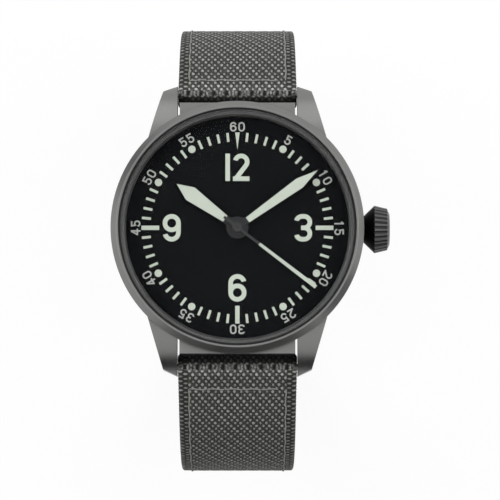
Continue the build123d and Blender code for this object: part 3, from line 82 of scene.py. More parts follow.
# %% Place the camera
AIM, DISTANCE = Vector((2.09, -3.93, 10.0)) * MM, 650 * MM
ELEVATION, LENS = math.radians(84.7), 283.3
camera = bpy.data.objects.new("camera", bpy.data.cameras.new("camera"))
bpy.context.scene.collection.objects.link(camera)
camera.location = AIM + DISTANCE * Vector((0, -math.cos(ELEVATION), math.sin(ELEVATION)))
camera.rotation_euler = (AIM - camera.location).to_track_quat("-Z", "Y").to_euler()
camera.data.lens = LENS
camera.data.clip_end = 20
bpy.context.scene.camera = camera
bpy.context.scene.view_settings.view_transform = "Standard"
print("camera at", [round(v, 3) for v in camera.location])

# %% [markdown]
# ## A studio round the watch
# A catalogue picture of a watch uses big soft lamps at the sides and leaves the space straight above the
# glass dark, or the black dial would turn grey. Three square area lamps stand at left, right and behind
# 12 o'clock. Three black cards, further down, give the bezel its dark parts.

# %% Set up the lamps: place and side in metres, power in watts
lamp_plan = {
    "lamp_left": ((-0.52, 0.10, 0.34), 0.50, 1.6),
    "lamp_right": ((0.52, 0.06, 0.34), 0.50, 1.4),
    "lamp_top": ((0.0, 0.55, 0.40), 0.70, 0.95),
}
for name, (place, side, power) in lamp_plan.items():
    lamp = bpy.data.lights.new(name, "AREA")
    lamp.shape = "SQUARE"
    lamp.size = side
    lamp.energy = power
    stand = bpy.data.objects.new(name, lamp)
    bpy.context.scene.collection.objects.link(stand)
    stand.location = place
    stand.rotation_euler = (-Vector(place)).to_track_quat("-Z", "Y").to_euler()
    stand.visible_camera = False
print(len(lamp_plan), "lamps")

# %% [markdown]
# ## Node helpers
# A node tree is wired up with a few helpers. `feed` fills a node's inputs: the socket of another node is
# linked, and a plain number or colour is set. `put` adds a node and feeds it. The others add one common
# node each and give back its output.

# %% Add nodes and fill their inputs
def feed(tree, node, values):
    for key, value in values.items():
        if isinstance(value, bpy.types.NodeSocket):
            tree.links.new(value, node.inputs[key])
        else:
            node.inputs[key].default_value = value


def put(tree, kind, values=None, **settings):
    made = tree.nodes.new(kind)
    for name, value in settings.items():
        setattr(made, name, value)
    feed(tree, made, values or {})
    return made


def grey(value):
    return (value, value, value, 1)


print("a grey is", grey(0.5))

# %% Sums, colours and places as nodes
def reckon(tree, operation, first, second=0.0, third=0.0, clamp=False):
    values = {0: first, 1: second, 2: third}
    return put(tree, "ShaderNodeMath", values, operation=operation, use_clamp=clamp).outputs[0]


def shade(tree, start, end, value):
    """0 where the value is before start, 1 where it is past end, smooth between them."""
    values = {0: value, 1: start, 2: end}
    return put(tree, "ShaderNodeMapRange", values, interpolation_type="SMOOTHSTEP").outputs[0]


def blend(tree, share, first, second):
    """One colour turning into another as the share goes from 0 to 1."""
    return put(tree, "ShaderNodeMix", {0: share, 6: first, 7: second}, data_type="RGBA").outputs[2]


def brighten(tree, colour, factor):
    return put(tree, "ShaderNodeVectorMath", {0: colour, "Scale": factor}, operation="SCALE").outputs[0]


def noise(tree, spot, scale, detail=2.0, output=0):
    """A cloudy pattern: output 0 is its value, output 1 three values as a colour."""
    values = {"Vector": spot, "Scale": scale, "Detail": detail}
    return put(tree, "ShaderNodeTexNoise", values).outputs[output]


def bump(tree, height, strength, distance, **more):
    values = {"Height": height, "Strength": strength, "Distance": distance, **more}
    return put(tree, "ShaderNodeBump", values).outputs[0]


def object_spot(tree):
    """The shaded point in the object's own metres."""
    return put(tree, "ShaderNodeTexCoord").outputs["Object"]


def length_of(tree, vector):
    return put(tree, "ShaderNodeVectorMath", {0: vector}, operation="LENGTH").outputs["Value"]


# %% [markdown]
# The world is a dim grey that fills the shadows. A camera ray that meets it, and a ray that was mirrored
# or came through glass, finds plain white instead, which is the white page behind the product.

# %% Make the world
FILL = 0.38


def seen_share(tree):
    """1 for a ray from the camera, straight, mirrored or through glass; 0 once it has met a matt surface."""
    path = put(tree, "ShaderNodeLightPath").outputs
    share = reckon(tree, "ADD", path["Is Camera Ray"], path["Is Glossy Ray"])
    share = reckon(tree, "ADD", share, path["Is Transmission Ray"], clamp=True)
    lit = reckon(tree, "SUBTRACT", 1.0, path["Diffuse Depth"], clamp=True)
    return reckon(tree, "MULTIPLY", share, lit)


world = bpy.data.worlds.new("studio")
bpy.context.scene.world = world
world.use_nodes = True
sky = world.node_tree
strength = reckon(sky, "MULTIPLY_ADD", seen_share(sky), 1.0 - FILL, FILL)
feed(sky, sky.nodes["Background"], {"Strength": strength, "Color": grey(1)})
print("world fills with", FILL, "and shows as 1.0")

# %% [markdown]
# ## Mesh and material helpers
# Every new piece is a mesh made from lists of points and faces, worked out in millimetres and scaled to
# metres once. The strap's pieces are closed, the floor and the cards are plain sheets. A material starts
# as a node tree with one Principled shader in it.

# %% Turn points and faces into an object
def make_piece(name, points, faces, material=None, uv=None):
    mesh = bpy.data.meshes.new(name)
    mesh.from_pydata([tuple(p) for p in np.asarray(points, float) * MM], [], faces)
    mesh.validate()
    mesh.shade_smooth()
    if uv is not None:
        corner = np.zeros(len(mesh.loops), dtype=np.int32)
        mesh.loops.foreach_get("vertex_index", corner)
        layer = mesh.uv_layers.new(name="cloth_mm")
        layer.data.foreach_set("uv", np.asarray(uv, float)[corner].astype(np.float32).ravel())
    piece = bpy.data.objects.new(name, mesh)
    bpy.context.scene.collection.objects.link(piece)
    if material:
        mesh.materials.append(material)
    return piece


def new_material(name):
    material = bpy.data.materials.new(name)
    material.use_nodes = True
    tree = material.node_tree
    return material, tree, tree.nodes["Principled BSDF"]


def show_mix(tree, share, first, second):
    """Send a mix of two shaders to the material's output."""
    mixed = put(tree, "ShaderNodeMixShader", {0: share, 1: first.outputs[0], 2: second.outputs[0]})
    feed(tree, tree.nodes["Material Output"], {"Surface": mixed.outputs[0]})


# %% [markdown]
# ## The table
# The strap stands on a pale floor, nearly 50 mm below the case back. The floor lies a quarter of a
# millimetre under the lowest solid, so that no stitch pokes through it. For the camera it is mostly an
# even white glow, with a little real diffuse white mixed in, so that the watch's soft shadow shows on it.

# %% Lay the floor
FLOOR_DROP, FLOOR_HALF, GLOW, GLOW_SHARE = 0.25, 3000, 1.07, 0.84
QUAD = [(0, 1, 2, 3)]
floor_z = solids_box[0][2] / MM - FLOOR_DROP
corners = [(FLOOR_HALF * x, FLOOR_HALF * y, floor_z) for x, y in ((-1, -1), (1, -1), (1, 1), (-1, 1))]
paper, tree, shader = new_material("paper")
feed(tree, shader, {"Base Color": grey(0.86), "Roughness": 0.9, "Specular IOR Level": 0.0})
glow = put(tree, "ShaderNodeEmission", {"Color": grey(1), "Strength": GLOW})
show_mix(tree, reckon(tree, "MULTIPLY", seen_share(tree), GLOW_SHARE), shader, glow)
floor = make_piece("floor", corners, QUAD, paper)
print("floor at", round(floor_z, 3), "mm")

# %% [markdown]
# A wide black card leans away on the 6 o'clock side and darkens the lower part of the bezel. Two narrow
# ones stand upright at the lower right and the upper left, and give it a dark streak each. The camera
# doesn't see them, as a photographer would keep them outside the picture.

# %% Stand the black cards round the watch
CARD_FOOT, CARD_TOP, CARD_AWAY = -45, 40, 170
black, tree, shader = new_material("black_card")
feed(tree, shader, {"Base Color": grey(0.004), "Roughness": 0.95, "Specular IOR Level": 0.0})
corners = [(-150, -150, CARD_FOOT), (150, -150, CARD_FOOT), (150, -330, 120), (-150, -330, 120)]
cards = [make_piece("card", corners, QUAD, black)]
for clockwise, half in ((119, 34), (307, 42)):
    turn = math.radians(clockwise)
    middle = CARD_AWAY * Vector((math.sin(turn), math.cos(turn), 0))
    along = half * Vector((math.cos(turn), -math.sin(turn), 0))
    ends = ((-1, CARD_FOOT), (1, CARD_FOOT), (1, CARD_TOP), (-1, CARD_TOP))
    corners = [middle + end * along + Vector((0, 0, z)) for end, z in ends]
    cards.append(make_piece(f"card_{clockwise}", corners, QUAD, black))
for card in cards:
    card.visible_camera = False
print(len(cards), "cards")

# %% [markdown]
# ## Shared effects as node groups
# Several finishes need the same effect with other numbers. Each effect is built once as a node group with
# named inputs and outputs, and then placed in every material that needs it.
# The first one is the fine grain that bead blasting, matt paint and print all have: tiny light and dark
# specks, a slower cloudiness over them, a height for the bump, and a roughness that varies with it.

# %% Start a group with its sockets
def new_group(name, inputs, outputs):
    """The group, the sockets of its inputs, and the node that takes its results."""
    group = bpy.data.node_groups.new(name, "ShaderNodeTree")
    for label, kind, value in inputs:
        socket = group.interface.new_socket(name=label, in_out="INPUT", socket_type=kind)
        socket.default_value = value
    for label, kind in outputs:
        group.interface.new_socket(name=label, in_out="OUTPUT", socket_type=kind)
    return group, group.nodes.new("NodeGroupInput").outputs, group.nodes.new("NodeGroupOutput")


def use_group(tree, group, values):
    return put(tree, "ShaderNodeGroup", values, node_tree=group).outputs


FLOAT, COLOUR, VECTOR = "NodeSocketFloat", "NodeSocketColor", "NodeSocketVector"

# %% Group: fine grain
CLOUDS = 260.0
fine_grain, given, result = new_group(
    "fine grain",
    [
        ("Colour", COLOUR, grey(0.3)),
        ("Specks per mm", FLOAT, 8.0),
        ("Speck contrast", FLOAT, 0.1),
        ("Cloud contrast", FLOAT, 0.05),
        ("Roughness", FLOAT, 0.45),
        ("Roughness change", FLOAT, 0.08),
    ],
    [("Colour", COLOUR), ("Roughness", FLOAT), ("Height", FLOAT)],
)
calc, spot = partial(reckon, fine_grain), object_spot(fine_grain)
speck = noise(fine_grain, spot, calc("MULTIPLY", given["Specks per mm"], PER_METRE))
cloud = noise(fine_grain, spot, CLOUDS, 3.0)
speck_off, cloud_off = calc("SUBTRACT", speck, 0.5), calc("SUBTRACT", cloud, 0.5)
speck_part = calc("MULTIPLY", speck_off, given["Speck contrast"])
cloud_part = calc("MULTIPLY", cloud_off, given["Cloud contrast"])
gain = calc("MULTIPLY_ADD", calc("ADD", speck_part, cloud_part), 2.0, 1.0)
feed(fine_grain, result, {
    "Colour": brighten(fine_grain, given["Colour"], gain),
    "Roughness": calc("MULTIPLY_ADD", cloud_off, given["Roughness change"], given["Roughness"]),
    "Height": speck,
})
print("group", fine_grain.name, "has", len(fine_grain.nodes), "nodes")

# %% [markdown]
# Real edges are never knife sharp. The Bevel node looks round each corner and gives a normal that is
# rounded within a radius. Where it differs from the flat face's own normal there is an edge, and that
# difference is the mask for slightly brighter edges: partly polished by wear, partly a painted highlight.

# %% Group: edge wear and painted highlight
edge_wear_and_highlight, given, result = new_group(
    "edge wear and painted highlight",
    [("Radius", FLOAT, 0.0001), ("Amount", FLOAT, 0.5)],
    [("Wear and highlight", FLOAT), ("Normal", VECTOR)],
)
rounded = put(edge_wear_and_highlight, "ShaderNodeBevel", {"Radius": given["Radius"]}, samples=6).outputs[0]
flat = put(edge_wear_and_highlight, "ShaderNodeNewGeometry").outputs["Normal"]
alike = put(edge_wear_and_highlight, "ShaderNodeVectorMath", {0: rounded, 1: flat}, operation="DOT_PRODUCT")
edge = shade(edge_wear_and_highlight, 0.01, 0.16, reckon(edge_wear_and_highlight, "SUBTRACT", 1.0, alike.outputs["Value"]))
feed(edge_wear_and_highlight, result, {"Wear and highlight": reckon(edge_wear_and_highlight, "MULTIPLY", edge, given["Amount"]), "Normal": rounded})
print("group", edge_wear_and_highlight.name, "has", len(edge_wear_and_highlight.nodes), "nodes")

# %% Start a material that has the fine grain
def grained(name, colour, roughness, specks, contrast, cloud_share, change):
    material, tree, shader = new_material(name)
    grain = use_group(tree, fine_grain, {
        "Colour": (*colour, 1), "Specks per mm": specks, "Speck contrast": contrast,
        "Cloud contrast": contrast * cloud_share, "Roughness": roughness, "Roughness change": change,
    })
    feed(tree, shader, {"Roughness": grain["Roughness"]})
    return material, tree, shader, grain


# %% [markdown]
# ## Metal
# The case, bezel, lugs, back and buckle are bead-blasted steel: a matt grey metal whose highlights are
# broad. It has the fine grain, and its edges are a little brighter, partly from wear and partly as a
# painted highlight. The parts inside are turned and ground, so their grain is longer and their roughness
# lower.
# The crown's flutes are narrow and get painted shade. They are found by depth: how far a point lies inside
# the tapered surface that wraps the crown's barrel. The short cone next to the case is painted shade,
# dark all round.

# %% Paint shade into the crown's flutes and onto its cone
CONE_OUT, CROWN_END, CROWN_R, STEM_Z = 22.8 * MM, 24.9 * MM, 3.97 * MM, 4.6 * MM
CROWN_TAPER = 0.238


def crown_painted_shade(tree, paint):
    x, y, z = put(tree, "ShaderNodeSeparateXYZ", {0: object_spot(tree)}).outputs
    offset = put(tree, "ShaderNodeCombineXYZ", {0: y, 1: reckon(tree, "SUBTRACT", z, STEM_Z)}).outputs[0]
    surface = reckon(tree, "MULTIPLY_ADD", reckon(tree, "SUBTRACT", x, CONE_OUT), -CROWN_TAPER, CROWN_R)
    depth = reckon(tree, "SUBTRACT", surface, length_of(tree, offset))
    on_barrel = shade(tree, CROWN_END, CROWN_END - 0.05 * MM, x)
    in_flute = reckon(tree, "MULTIPLY", shade(tree, 0.03 * MM, 0.12 * MM, depth), on_barrel)
    # Painted shade: the flutes turn near-black, and the cone next to the case is near-black all round.
    paint = blend(tree, reckon(tree, "MULTIPLY", in_flute, 0.75), paint, grey(0.012))
    return blend(tree, shade(tree, CONE_OUT - 0.1 * MM, CONE_OUT, x), grey(0.010), paint)


# %% Make the metals
INNER_EDGE = 0.04 * MM


def metal(name, colour, roughness, specks, contrast, wear_and_highlight, radius=0.09 * MM, metallic=1.0, fluted=False):
    material, tree, shader, grain = grained(name, colour, roughness, specks, contrast, 0.6, 0.1)
    edges = use_group(tree, edge_wear_and_highlight, {"Radius": radius, "Amount": wear_and_highlight})
    # Partly real wear, partly painted highlight: the edges' colour rises towards a brighter copy of the
    # steel.
    bright = tuple(min(1.0, 1.55 * c + 0.06) for c in colour)
    paint = blend(tree, edges["Wear and highlight"], grain["Colour"], (*bright, 1))
    # The crown gets painted shade in its flutes and on its cone.
    if fluted:
        paint = crown_painted_shade(tree, paint)
    normal = bump(tree, grain["Height"], 0.15, 0.03 * MM, Normal=edges["Normal"])
    feed(tree, shader, {"Base Color": paint, "Normal": normal, "Metallic": metallic})
    return material


finish = {
    "case_steel": metal("blasted_steel", (0.200, 0.203, 0.196), 0.36, 9.0, 0.14, 0.6),
    "crown_steel": metal("crown_steel", (0.085, 0.086, 0.084), 0.34, 8.0, 0.12, 0.8, fluted=True),
    "black_ring": metal("ring_steel", (0.085, 0.086, 0.083), 0.34, 8.0, 0.08, 0.3, metallic=0.5),
    "plated": metal("plated_brass", (0.55, 0.52, 0.44), 0.38, 5.0, 0.12, 0.4),
    "gear": metal("gear_brass", (0.70, 0.52, 0.24), 0.24, 6.0, 0.08, 0.5, INNER_EDGE),
    "steel": metal("turned_steel", (0.50, 0.50, 0.50), 0.22, 6.0, 0.06, 0.4, INNER_EDGE),
    "blued": metal("blued_steel", (0.05, 0.07, 0.20), 0.22, 6.0, 0.10, 0.3, INNER_EDGE),
}
print(len(finish), "metals")

# %% [markdown]
# ## Paint, print, rubber and plastic
# The dial is matt black with a very fine grain. The hands are a little lighter, and their edges get a
# painted highlight. The second hand is dark grey with a black eye in its middle. Numerals, marks and the
# filling of the hands are a luminous paint, a pale green-grey with a powdery grain. The gaskets are rubber
# and the movement sits in a plastic ring. None of them is metal, so each has a little plain gloss instead.

# %% Make the matt finishes
def from_axis(tree):
    """Distance from the dial's axis, whatever the height."""
    values = {0: object_spot(tree), 1: (1, 1, 0)}
    return length_of(tree, put(tree, "ShaderNodeVectorMath", values, operation="MULTIPLY").outputs[0])


def matt(name, colour, roughness, specks, contrast, gloss, relief=0.2, edge=0.0, eye=0.0):
    material, tree, shader, grain = grained(name, colour, roughness, specks, contrast, 0.5, 0.06)
    paint, rounding = grain["Colour"], {}
    # Painted highlight: the hands' edges are brightened well past their own colour.
    if edge:
        edges = use_group(tree, edge_wear_and_highlight, {"Radius": 0.05 * MM, "Amount": edge})
        rounding = {"Normal": edges["Normal"]}
        paint = blend(tree, edges["Wear and highlight"], paint, (*(2.6 * c for c in colour), 1))
    if eye:
        paint = blend(tree, shade(tree, 1.3 * eye, 0.7 * eye, from_axis(tree)), paint, grey(0.004))
    normal = bump(tree, grain["Height"], relief, 0.02 * MM, **rounding)
    feed(tree, shader, {"Base Color": paint, "Normal": normal, "Specular IOR Level": gloss})
    return material


finish["dial"] = matt("dial_black", (0.0072, 0.0077, 0.0084), 0.9, 12.0, 0.05, 0.0, 0.05)
finish["print"] = matt("luminous_print", (0.55, 0.60, 0.51), 0.8, 14.0, 0.07, 0.2, 0.3)
finish["small_print"] = matt("minute_print", (0.48, 0.49, 0.46), 0.8, 14.0, 0.05, 0.2)
finish["lume"] = matt("luminous_filling", (0.54, 0.585, 0.50), 0.8, 12.0, 0.09, 0.2, 0.4)
# The hands' brightened edges are painted highlight.
finish["hand"] = matt("hand_black", (0.014, 0.014, 0.015), 0.6, 10.0, 0.12, 0.3, edge=0.7)
sweep_finish = matt("second_hand_grey", (0.030, 0.030, 0.031), 0.6, 10.0, 0.10, 0.3, edge=0.3, eye=0.18 * MM)
finish["gasket"] = matt("rubber", (0.012, 0.012, 0.012), 0.7, 7.0, 0.2, 0.3)
finish["holder"] = matt("moulded_plastic", (0.75, 0.75, 0.73), 0.45, 4.0, 0.05, 0.5)
finish["ruby"] = matt("ruby", (0.60, 0.02, 0.10), 0.12, 3.0, 0.10, 0.8, 0.02)
print(len(finish), "finishes so far")

# %% [markdown]
# ## The crystal
# A coated crystal hides itself: it mirrors almost nothing, so the dial stays black. The shader is clear
# glass whose index of refraction is 1.06, far below real glass. That takes away the mirrored lamps and
# their noise, and hardly bends the view of the dial. Shadow rays pass straight through, because a real
# crystal shades the dial very little.

# %% Make the crystal
CRYSTAL_IOR = 1.06
crystal, tree, shader = new_material("coated_crystal")
smudge = use_group(tree, fine_grain, {"Specks per mm": 0.5, "Roughness": 0.02, "Roughness change": 0.03})
feed(tree, shader, {
    "Base Color": (0.99, 0.995, 1.0, 1), "Metallic": 0.0, "Transmission Weight": 1.0,
    "Specular IOR Level": 0.06, "IOR": CRYSTAL_IOR, "Roughness": smudge["Roughness"],
})
clear = put(tree, "ShaderNodeBsdfTransparent", {"Color": (0.97, 0.98, 0.98, 1)})
show_mix(tree, put(tree, "ShaderNodeLightPath").outputs["Is Shadow Ray"], shader, clear)
finish["crystal"] = crystal
print("the crystal's index of refraction is", CRYSTAL_IOR)

# %% [markdown]
# ## The weave
# The strap is a coarse textile: dark ground yarn crossed by pale yarn that comes up as short ovals. Every
# fourth column shows a big oval, each row is shifted one column on, and a small dot follows each oval, so
# the ovals run in diagonals. Dark pits lie between the rows. The pattern is worked out from a UV map that
# is in millimetres, so it keeps its scale round every bend, and a slow noise sways it a little, because
# no real weave is quite straight.

# %% Group: woven cloth, its rows and columns
COLUMN, ROW, MARGIN, SWAY = 0.532, 0.57, 1.7, 0.22
woven, given, result = new_group(
    "woven cloth",
    [
        ("Ground", COLOUR, (0.036, 0.038, 0.035, 1)),
        ("Yarn", COLOUR, (0.47, 0.48, 0.45, 1)),
        ("Tape", COLOUR, (0.105, 0.107, 0.101, 1)),
        ("Pit", COLOUR, (0.014, 0.015, 0.014, 1)),
    ],
    [("Colour", COLOUR), ("Height", FLOAT)],
)
calc, step, tint = partial(reckon, woven), partial(shade, woven), partial(blend, woven)
place = put(woven, "ShaderNodeUVMap", uv_map="cloth_mm").outputs[0]
across, down = put(woven, "ShaderNodeSeparateXYZ", {0: place}).outputs[:2]
sway = put(woven, "ShaderNodeSeparateXYZ", {0: noise(woven, place, 0.9, output=1)}).outputs
u = calc("MULTIPLY_ADD", calc("SUBTRACT", sway[0], 0.5), SWAY, across)
v = calc("MULTIPLY_ADD", calc("SUBTRACT", sway[1], 0.5), SWAY, down)
columns, rows = calc("DIVIDE", u, COLUMN), calc("DIVIDE", v, ROW)


def in_row(rows):
    """Number of the row, place down in it (-0.5 to 0.5), and the columns shifted by it."""
    row = calc("FLOOR", rows)
    return row, calc("SUBTRACT", calc("SUBTRACT", rows, row), 0.5), calc("SUBTRACT", columns, row)


def chance_of(column, row):
    """One random value for each cell of the pattern."""
    spot = put(woven, "ShaderNodeCombineXYZ", {0: column, 1: row}).outputs[0]
    return put(woven, "ShaderNodeTexWhiteNoise", {"Vector": spot}, noise_dimensions="2D").outputs[0]


def squares(first, second):
    return calc("ADD", calc("MULTIPLY", first, first), calc("MULTIPLY", second, second))


print("a row is", ROW, "mm, a column", COLUMN, "mm")

# %% Its ovals, dots and pits
row, dv, shifted = in_row(rows)
place4 = calc("FLOORED_MODULO", shifted, 4.0)
chance = chance_of(calc("FLOOR", calc("DIVIDE", shifted, 4.0)), row)


def oval(centre, half_across, half_down):
    du = calc("DIVIDE", calc("SUBTRACT", place4, centre), half_across)
    return step(1.25, 0.35, squares(du, calc("DIVIDE", dv, half_down)))


big, small = oval(1.0, 0.50, 0.47), calc("MULTIPLY", oval(3.2, 0.38, 0.45), 0.80)
yarn = calc("MULTIPLY", calc("MAXIMUM", big, small), calc("MULTIPLY_ADD", chance, 0.40, 0.70))
_, pit_dv, pit_shifted = in_row(calc("SUBTRACT", rows, 0.5))
pit_du = calc("SUBTRACT", calc("FLOORED_MODULO", pit_shifted, 4.0), 0.35)
pit = step(1.2, 0.1, squares(calc("MULTIPLY", pit_du, 2.4), calc("MULTIPLY", pit_dv, 2.6)))
dark = tint(step(0.35, 0.70, noise(woven, place, 3.4)), given["Ground"], given["Tape"])
cloth = tint(yarn, tint(calc("MULTIPLY", pit, 0.8), dark, given["Pit"]), given["Yarn"])
print(len(woven.nodes), "nodes so far")

# %% [markdown]
# The outermost 1.7 mm is an edge tape: ribs that run along the strap, cut into beads, with every other
# rib half a bead further on. It starts from the strap's half width, which each mesh stores as the
# attribute half_mm, so the tape stays at the edge where the strap narrows.

# %% Its edge tape
RIB_W, RIB_PITCH = 0.82, 0.78
half_here = put(woven, "ShaderNodeAttribute", attribute_name="half_mm").outputs["Fac"]
inward = calc("SUBTRACT", half_here, calc("ABSOLUTE", across))
rib = calc("DIVIDE", inward, RIB_W)
odd = calc("MULTIPLY", calc("FLOORED_MODULO", calc("FLOOR", rib), 2.0), 0.5)
bead_row = calc("ADD", calc("DIVIDE", v, RIB_PITCH), odd)
bead_du, bead_dv = (calc("SUBTRACT", calc("FRACT", value), 0.5) for value in (rib, bead_row))
bead_far = squares(calc("MULTIPLY", bead_du, 1.9), calc("MULTIPLY", bead_dv, 4.0))
bead_chance = chance_of(calc("FLOOR", rib), calc("FLOOR", bead_row))
bead = calc("MULTIPLY", step(1.1, 0.15, bead_far), calc("MULTIPLY_ADD", bead_chance, 0.5, 0.35))
tape = tint(bead, given["Ground"], given["Yarn"])
margin = step(MARGIN + 0.12, MARGIN - 0.12, inward)
print(len(woven.nodes), "nodes so far")

# %% [markdown]
# The cloth looks different where it folds over the spring bar. Just before the fold it puffs up, and there
# its colour carries painted light. On the crest its pale yarns stand up as a row of uneven loops, and behind
# the crest it sinks into a hollow of painted shade, nearly black. `v` is the distance from the bar in
# millimetres, negative behind it.

# %% Its fold, and the group's results
in_four = calc("FLOORED_MODULO", columns, 4.0)
gap_far = calc("ABSOLUTE", calc("SUBTRACT", in_four, 3.5))
loop_off = calc("ABSOLUTE", calc("SUBTRACT", calc("FRACT", in_four), 0.5))
uneven = step(0.25, 0.75, noise(woven, place, 2.1, 3.0))
loop = calc("MULTIPLY", step(0.62, 0.12, loop_off), step(0.25, 0.60, gap_far))
loop = calc("MULTIPLY", loop, uneven, clamp=True)
crest = calc("MULTIPLY", step(-0.95, -0.65, v), step(0.30, -0.05, v))
face = tint(crest, tint(margin, cloth, tape), tint(loop, given["Pit"], given["Yarn"]))
# Painted light: the cloth just outside the bar is made up to 45 per cent brighter.
puffed_painted_light = calc("MULTIPLY", step(-0.1, 0.25, v), step(1.3, 0.8, v))
face = brighten(woven, face, calc("MULTIPLY_ADD", puffed_painted_light, 0.45, 1.0))
# Painted shade: the hollow behind the crest is turned nearly black.
hollow_painted_shade = calc("MULTIPLY", step(-0.55, -1.35, v), 0.90)
cloth_height = calc("SUBTRACT", yarn, calc("MULTIPLY", pit, 0.4))
height = put(woven, "ShaderNodeMix", {0: margin, 2: cloth_height, 3: bead}, data_type="FLOAT").outputs[0]
feed(woven, result, {"Colour": tint(hollow_painted_shade, face, grey(0.002)), "Height": height})
print("group", woven.name, "has", len(woven.nodes), "nodes")

# %% Make the cloth and the sewing thread
cloth_finish, tree, shader = new_material("woven_textile")
weave = use_group(tree, woven, {})
fuzz = noise(tree, object_spot(tree), 9000.0, 3.0)
high = reckon(tree, "MULTIPLY_ADD", fuzz, 0.25, weave["Height"])
feed(tree, shader, {
    "Base Color": brighten(tree, weave["Colour"], reckon(tree, "MULTIPLY_ADD", fuzz, 0.7, 0.65)),
    "Normal": bump(tree, high, 0.9, 0.14 * MM),
    "Roughness": 0.85, "Specular IOR Level": 0.15, "Sheen Weight": 0.15, "Sheen Roughness": 0.4,
})
finish["weave"] = cloth_finish
thread_finish = matt("sewing_thread", (0.33, 0.335, 0.31), 0.8, 9.0, 0.25, 0.1, 0.5)
print("made", cloth_finish.name, "and", thread_finish.name)

# %% [markdown]
# ## The lining
# Under the cloth lies a smooth leather-like lining. Its pebbles come from a Voronoi texture: the distance
# to the nearest cell edge is low in the creases and high on each pebble.

# %% Group: pebbled grain, and the lining
pebbled, given, result = new_group(
    "pebbled grain",
    [("Colour", COLOUR, (0.06, 0.055, 0.05, 1)), ("Pebbles per mm", FLOAT, 2.6), ("Crease", FLOAT, 0.5)],
    [("Colour", COLOUR), ("Height", FLOAT)],
)
calc, spot = partial(reckon, pebbled), object_spot(pebbled)
bent = noise(pebbled, spot, 1500.0, output=1)
values = {0: bent, 1: (0.35 * MM,) * 3, 2: spot}
nudged = put(pebbled, "ShaderNodeVectorMath", values, operation="MULTIPLY_ADD").outputs[0]
values = {"Vector": nudged, "Scale": calc("MULTIPLY", given["Pebbles per mm"], PER_METRE)}
pebble = put(pebbled, "ShaderNodeTexVoronoi", values, feature="DISTANCE_TO_EDGE").outputs[0]
round_top = shade(pebbled, 0.0, 0.28, pebble)
darker = calc("MULTIPLY_ADD", round_top, given["Crease"], calc("SUBTRACT", 1.0, given["Crease"]))
feed(pebbled, result, {"Colour": brighten(pebbled, given["Colour"], darker), "Height": round_top})
lining_finish, tree, shader = new_material("leather_lining")
pebbles = use_group(tree, pebbled, {})
feed(tree, shader, {
    "Base Color": pebbles["Colour"], "Normal": bump(tree, pebbles["Height"], 0.5, 0.06 * MM),
    "Roughness": 0.6, "Specular IOR Level": 0.35,
})
finish["lining"] = lining_finish
print(len(finish), "finishes")

# %% Give every solid its finish
own_finish = {"second_hand": sweep_finish}
for part in frame["record"]["subparts"]:
    solid = frame["nodes"][part["node"]]
    if not solid.material_slots:
        solid.data.materials.append(None)
    for slot in solid.material_slots:
        slot.material = own_finish.get(part["node"], finish[part["material_slot"]])
print(len(frame["nodes"]), "nodes have a finish")

# %% [markdown]
# The crystal rests on the ring round the dial, so two faces lie in one plane there, and a ray that leaves
# the glass would slip into the steel. A modifier draws the shown crystal in by a hair, and the ring's flat
# top under it is lit as it should be. The solid itself stays as it is.

# %% Leave a hair of air round the crystal
HAIR = 0.02 * MM
crystal_solid = frame["nodes"]["crystal"]
weld = crystal_solid.modifiers.new("weld", "WELD")
weld.merge_threshold = 0.001 * MM
hair = crystal_solid.modifiers.new("hair of air", "DISPLACE")
hair.mid_level = 0.0
hair.strength = -HAIR
print("crystal drawn in by", HAIR / MM, "mm")

# %% [markdown]
# ## The strap's course
# Each strap half leaves its spring bar 15 degrees below level, bends down behind the case and comes round
# under it. Its course is a few straight runs and round bends in the YZ plane. `course` walks along it and
# gives the place and heading at any distance from the bar.

# %% Walk along the course
BAR_Y, BAR_Z, LEAVE = 22.8, 2.4, math.radians(-15)
SHORT_END_Z, LONG_END_Z = -33.9568, -47.9484
short_course = [("bend", 15.3809, 75), ("run", 4.0, 0), ("bend", 17.5, 90), ("run", 17.0, 0)]
long_course = [("bend", 20.238, 75), ("bend", 30.8, 90), ("run", 17.3, 0), ("bend", 24.0, 48)]


def course_length(moves):
    return sum(size if kind == "run" else size * math.radians(turn) for kind, size, turn in moves)


def course(moves, far):
    """Place (y, z) and heading after the distance far, on the 12 o'clock side."""
    y, z, heading = BAR_Y, BAR_Z, LEAVE
    for index, (kind, size, turn) in enumerate(moves):
        long = size if kind == "run" else size * math.radians(turn)
        part = far if index == len(moves) - 1 else min(far, long)
        if kind == "run":
            y, z = y + part * math.cos(heading), z + part * math.sin(heading)
        else:
            after = heading - part / size
            y += size * (math.sin(heading) - math.sin(after))
            z -= size * (math.cos(heading) - math.cos(after))
            heading = after
        far -= part
        if far <= 0:
            break
    return y, z, heading


for name, moves in (("short", short_course), ("long", long_course)):
    length = course_length(moves)
    y, z, _ = course(moves, length)
    print(name, "half:", round(length, 3), "mm, ends at", round(y, 3), round(z, 3))

# %% [markdown]
# ## Weaving a strap half
# The half is one closed skin. At every station along the course stands the same ring of points: many
# across the outer face, a few round each rounded edge, and fewer across the hidden inner face. Joining
# each ring to the next gives the skin. Round the spring bar the stations turn about the bar's middle, so
# the cloth folds over the bar and comes back underneath.

# %% One ring of points across the strap
HALF, NARROWER, CLOTH_T, LINING_T = 9.8, 0.8, 1.5, 0.9
EDGE, FACE_STEP = 0.42, 0.20


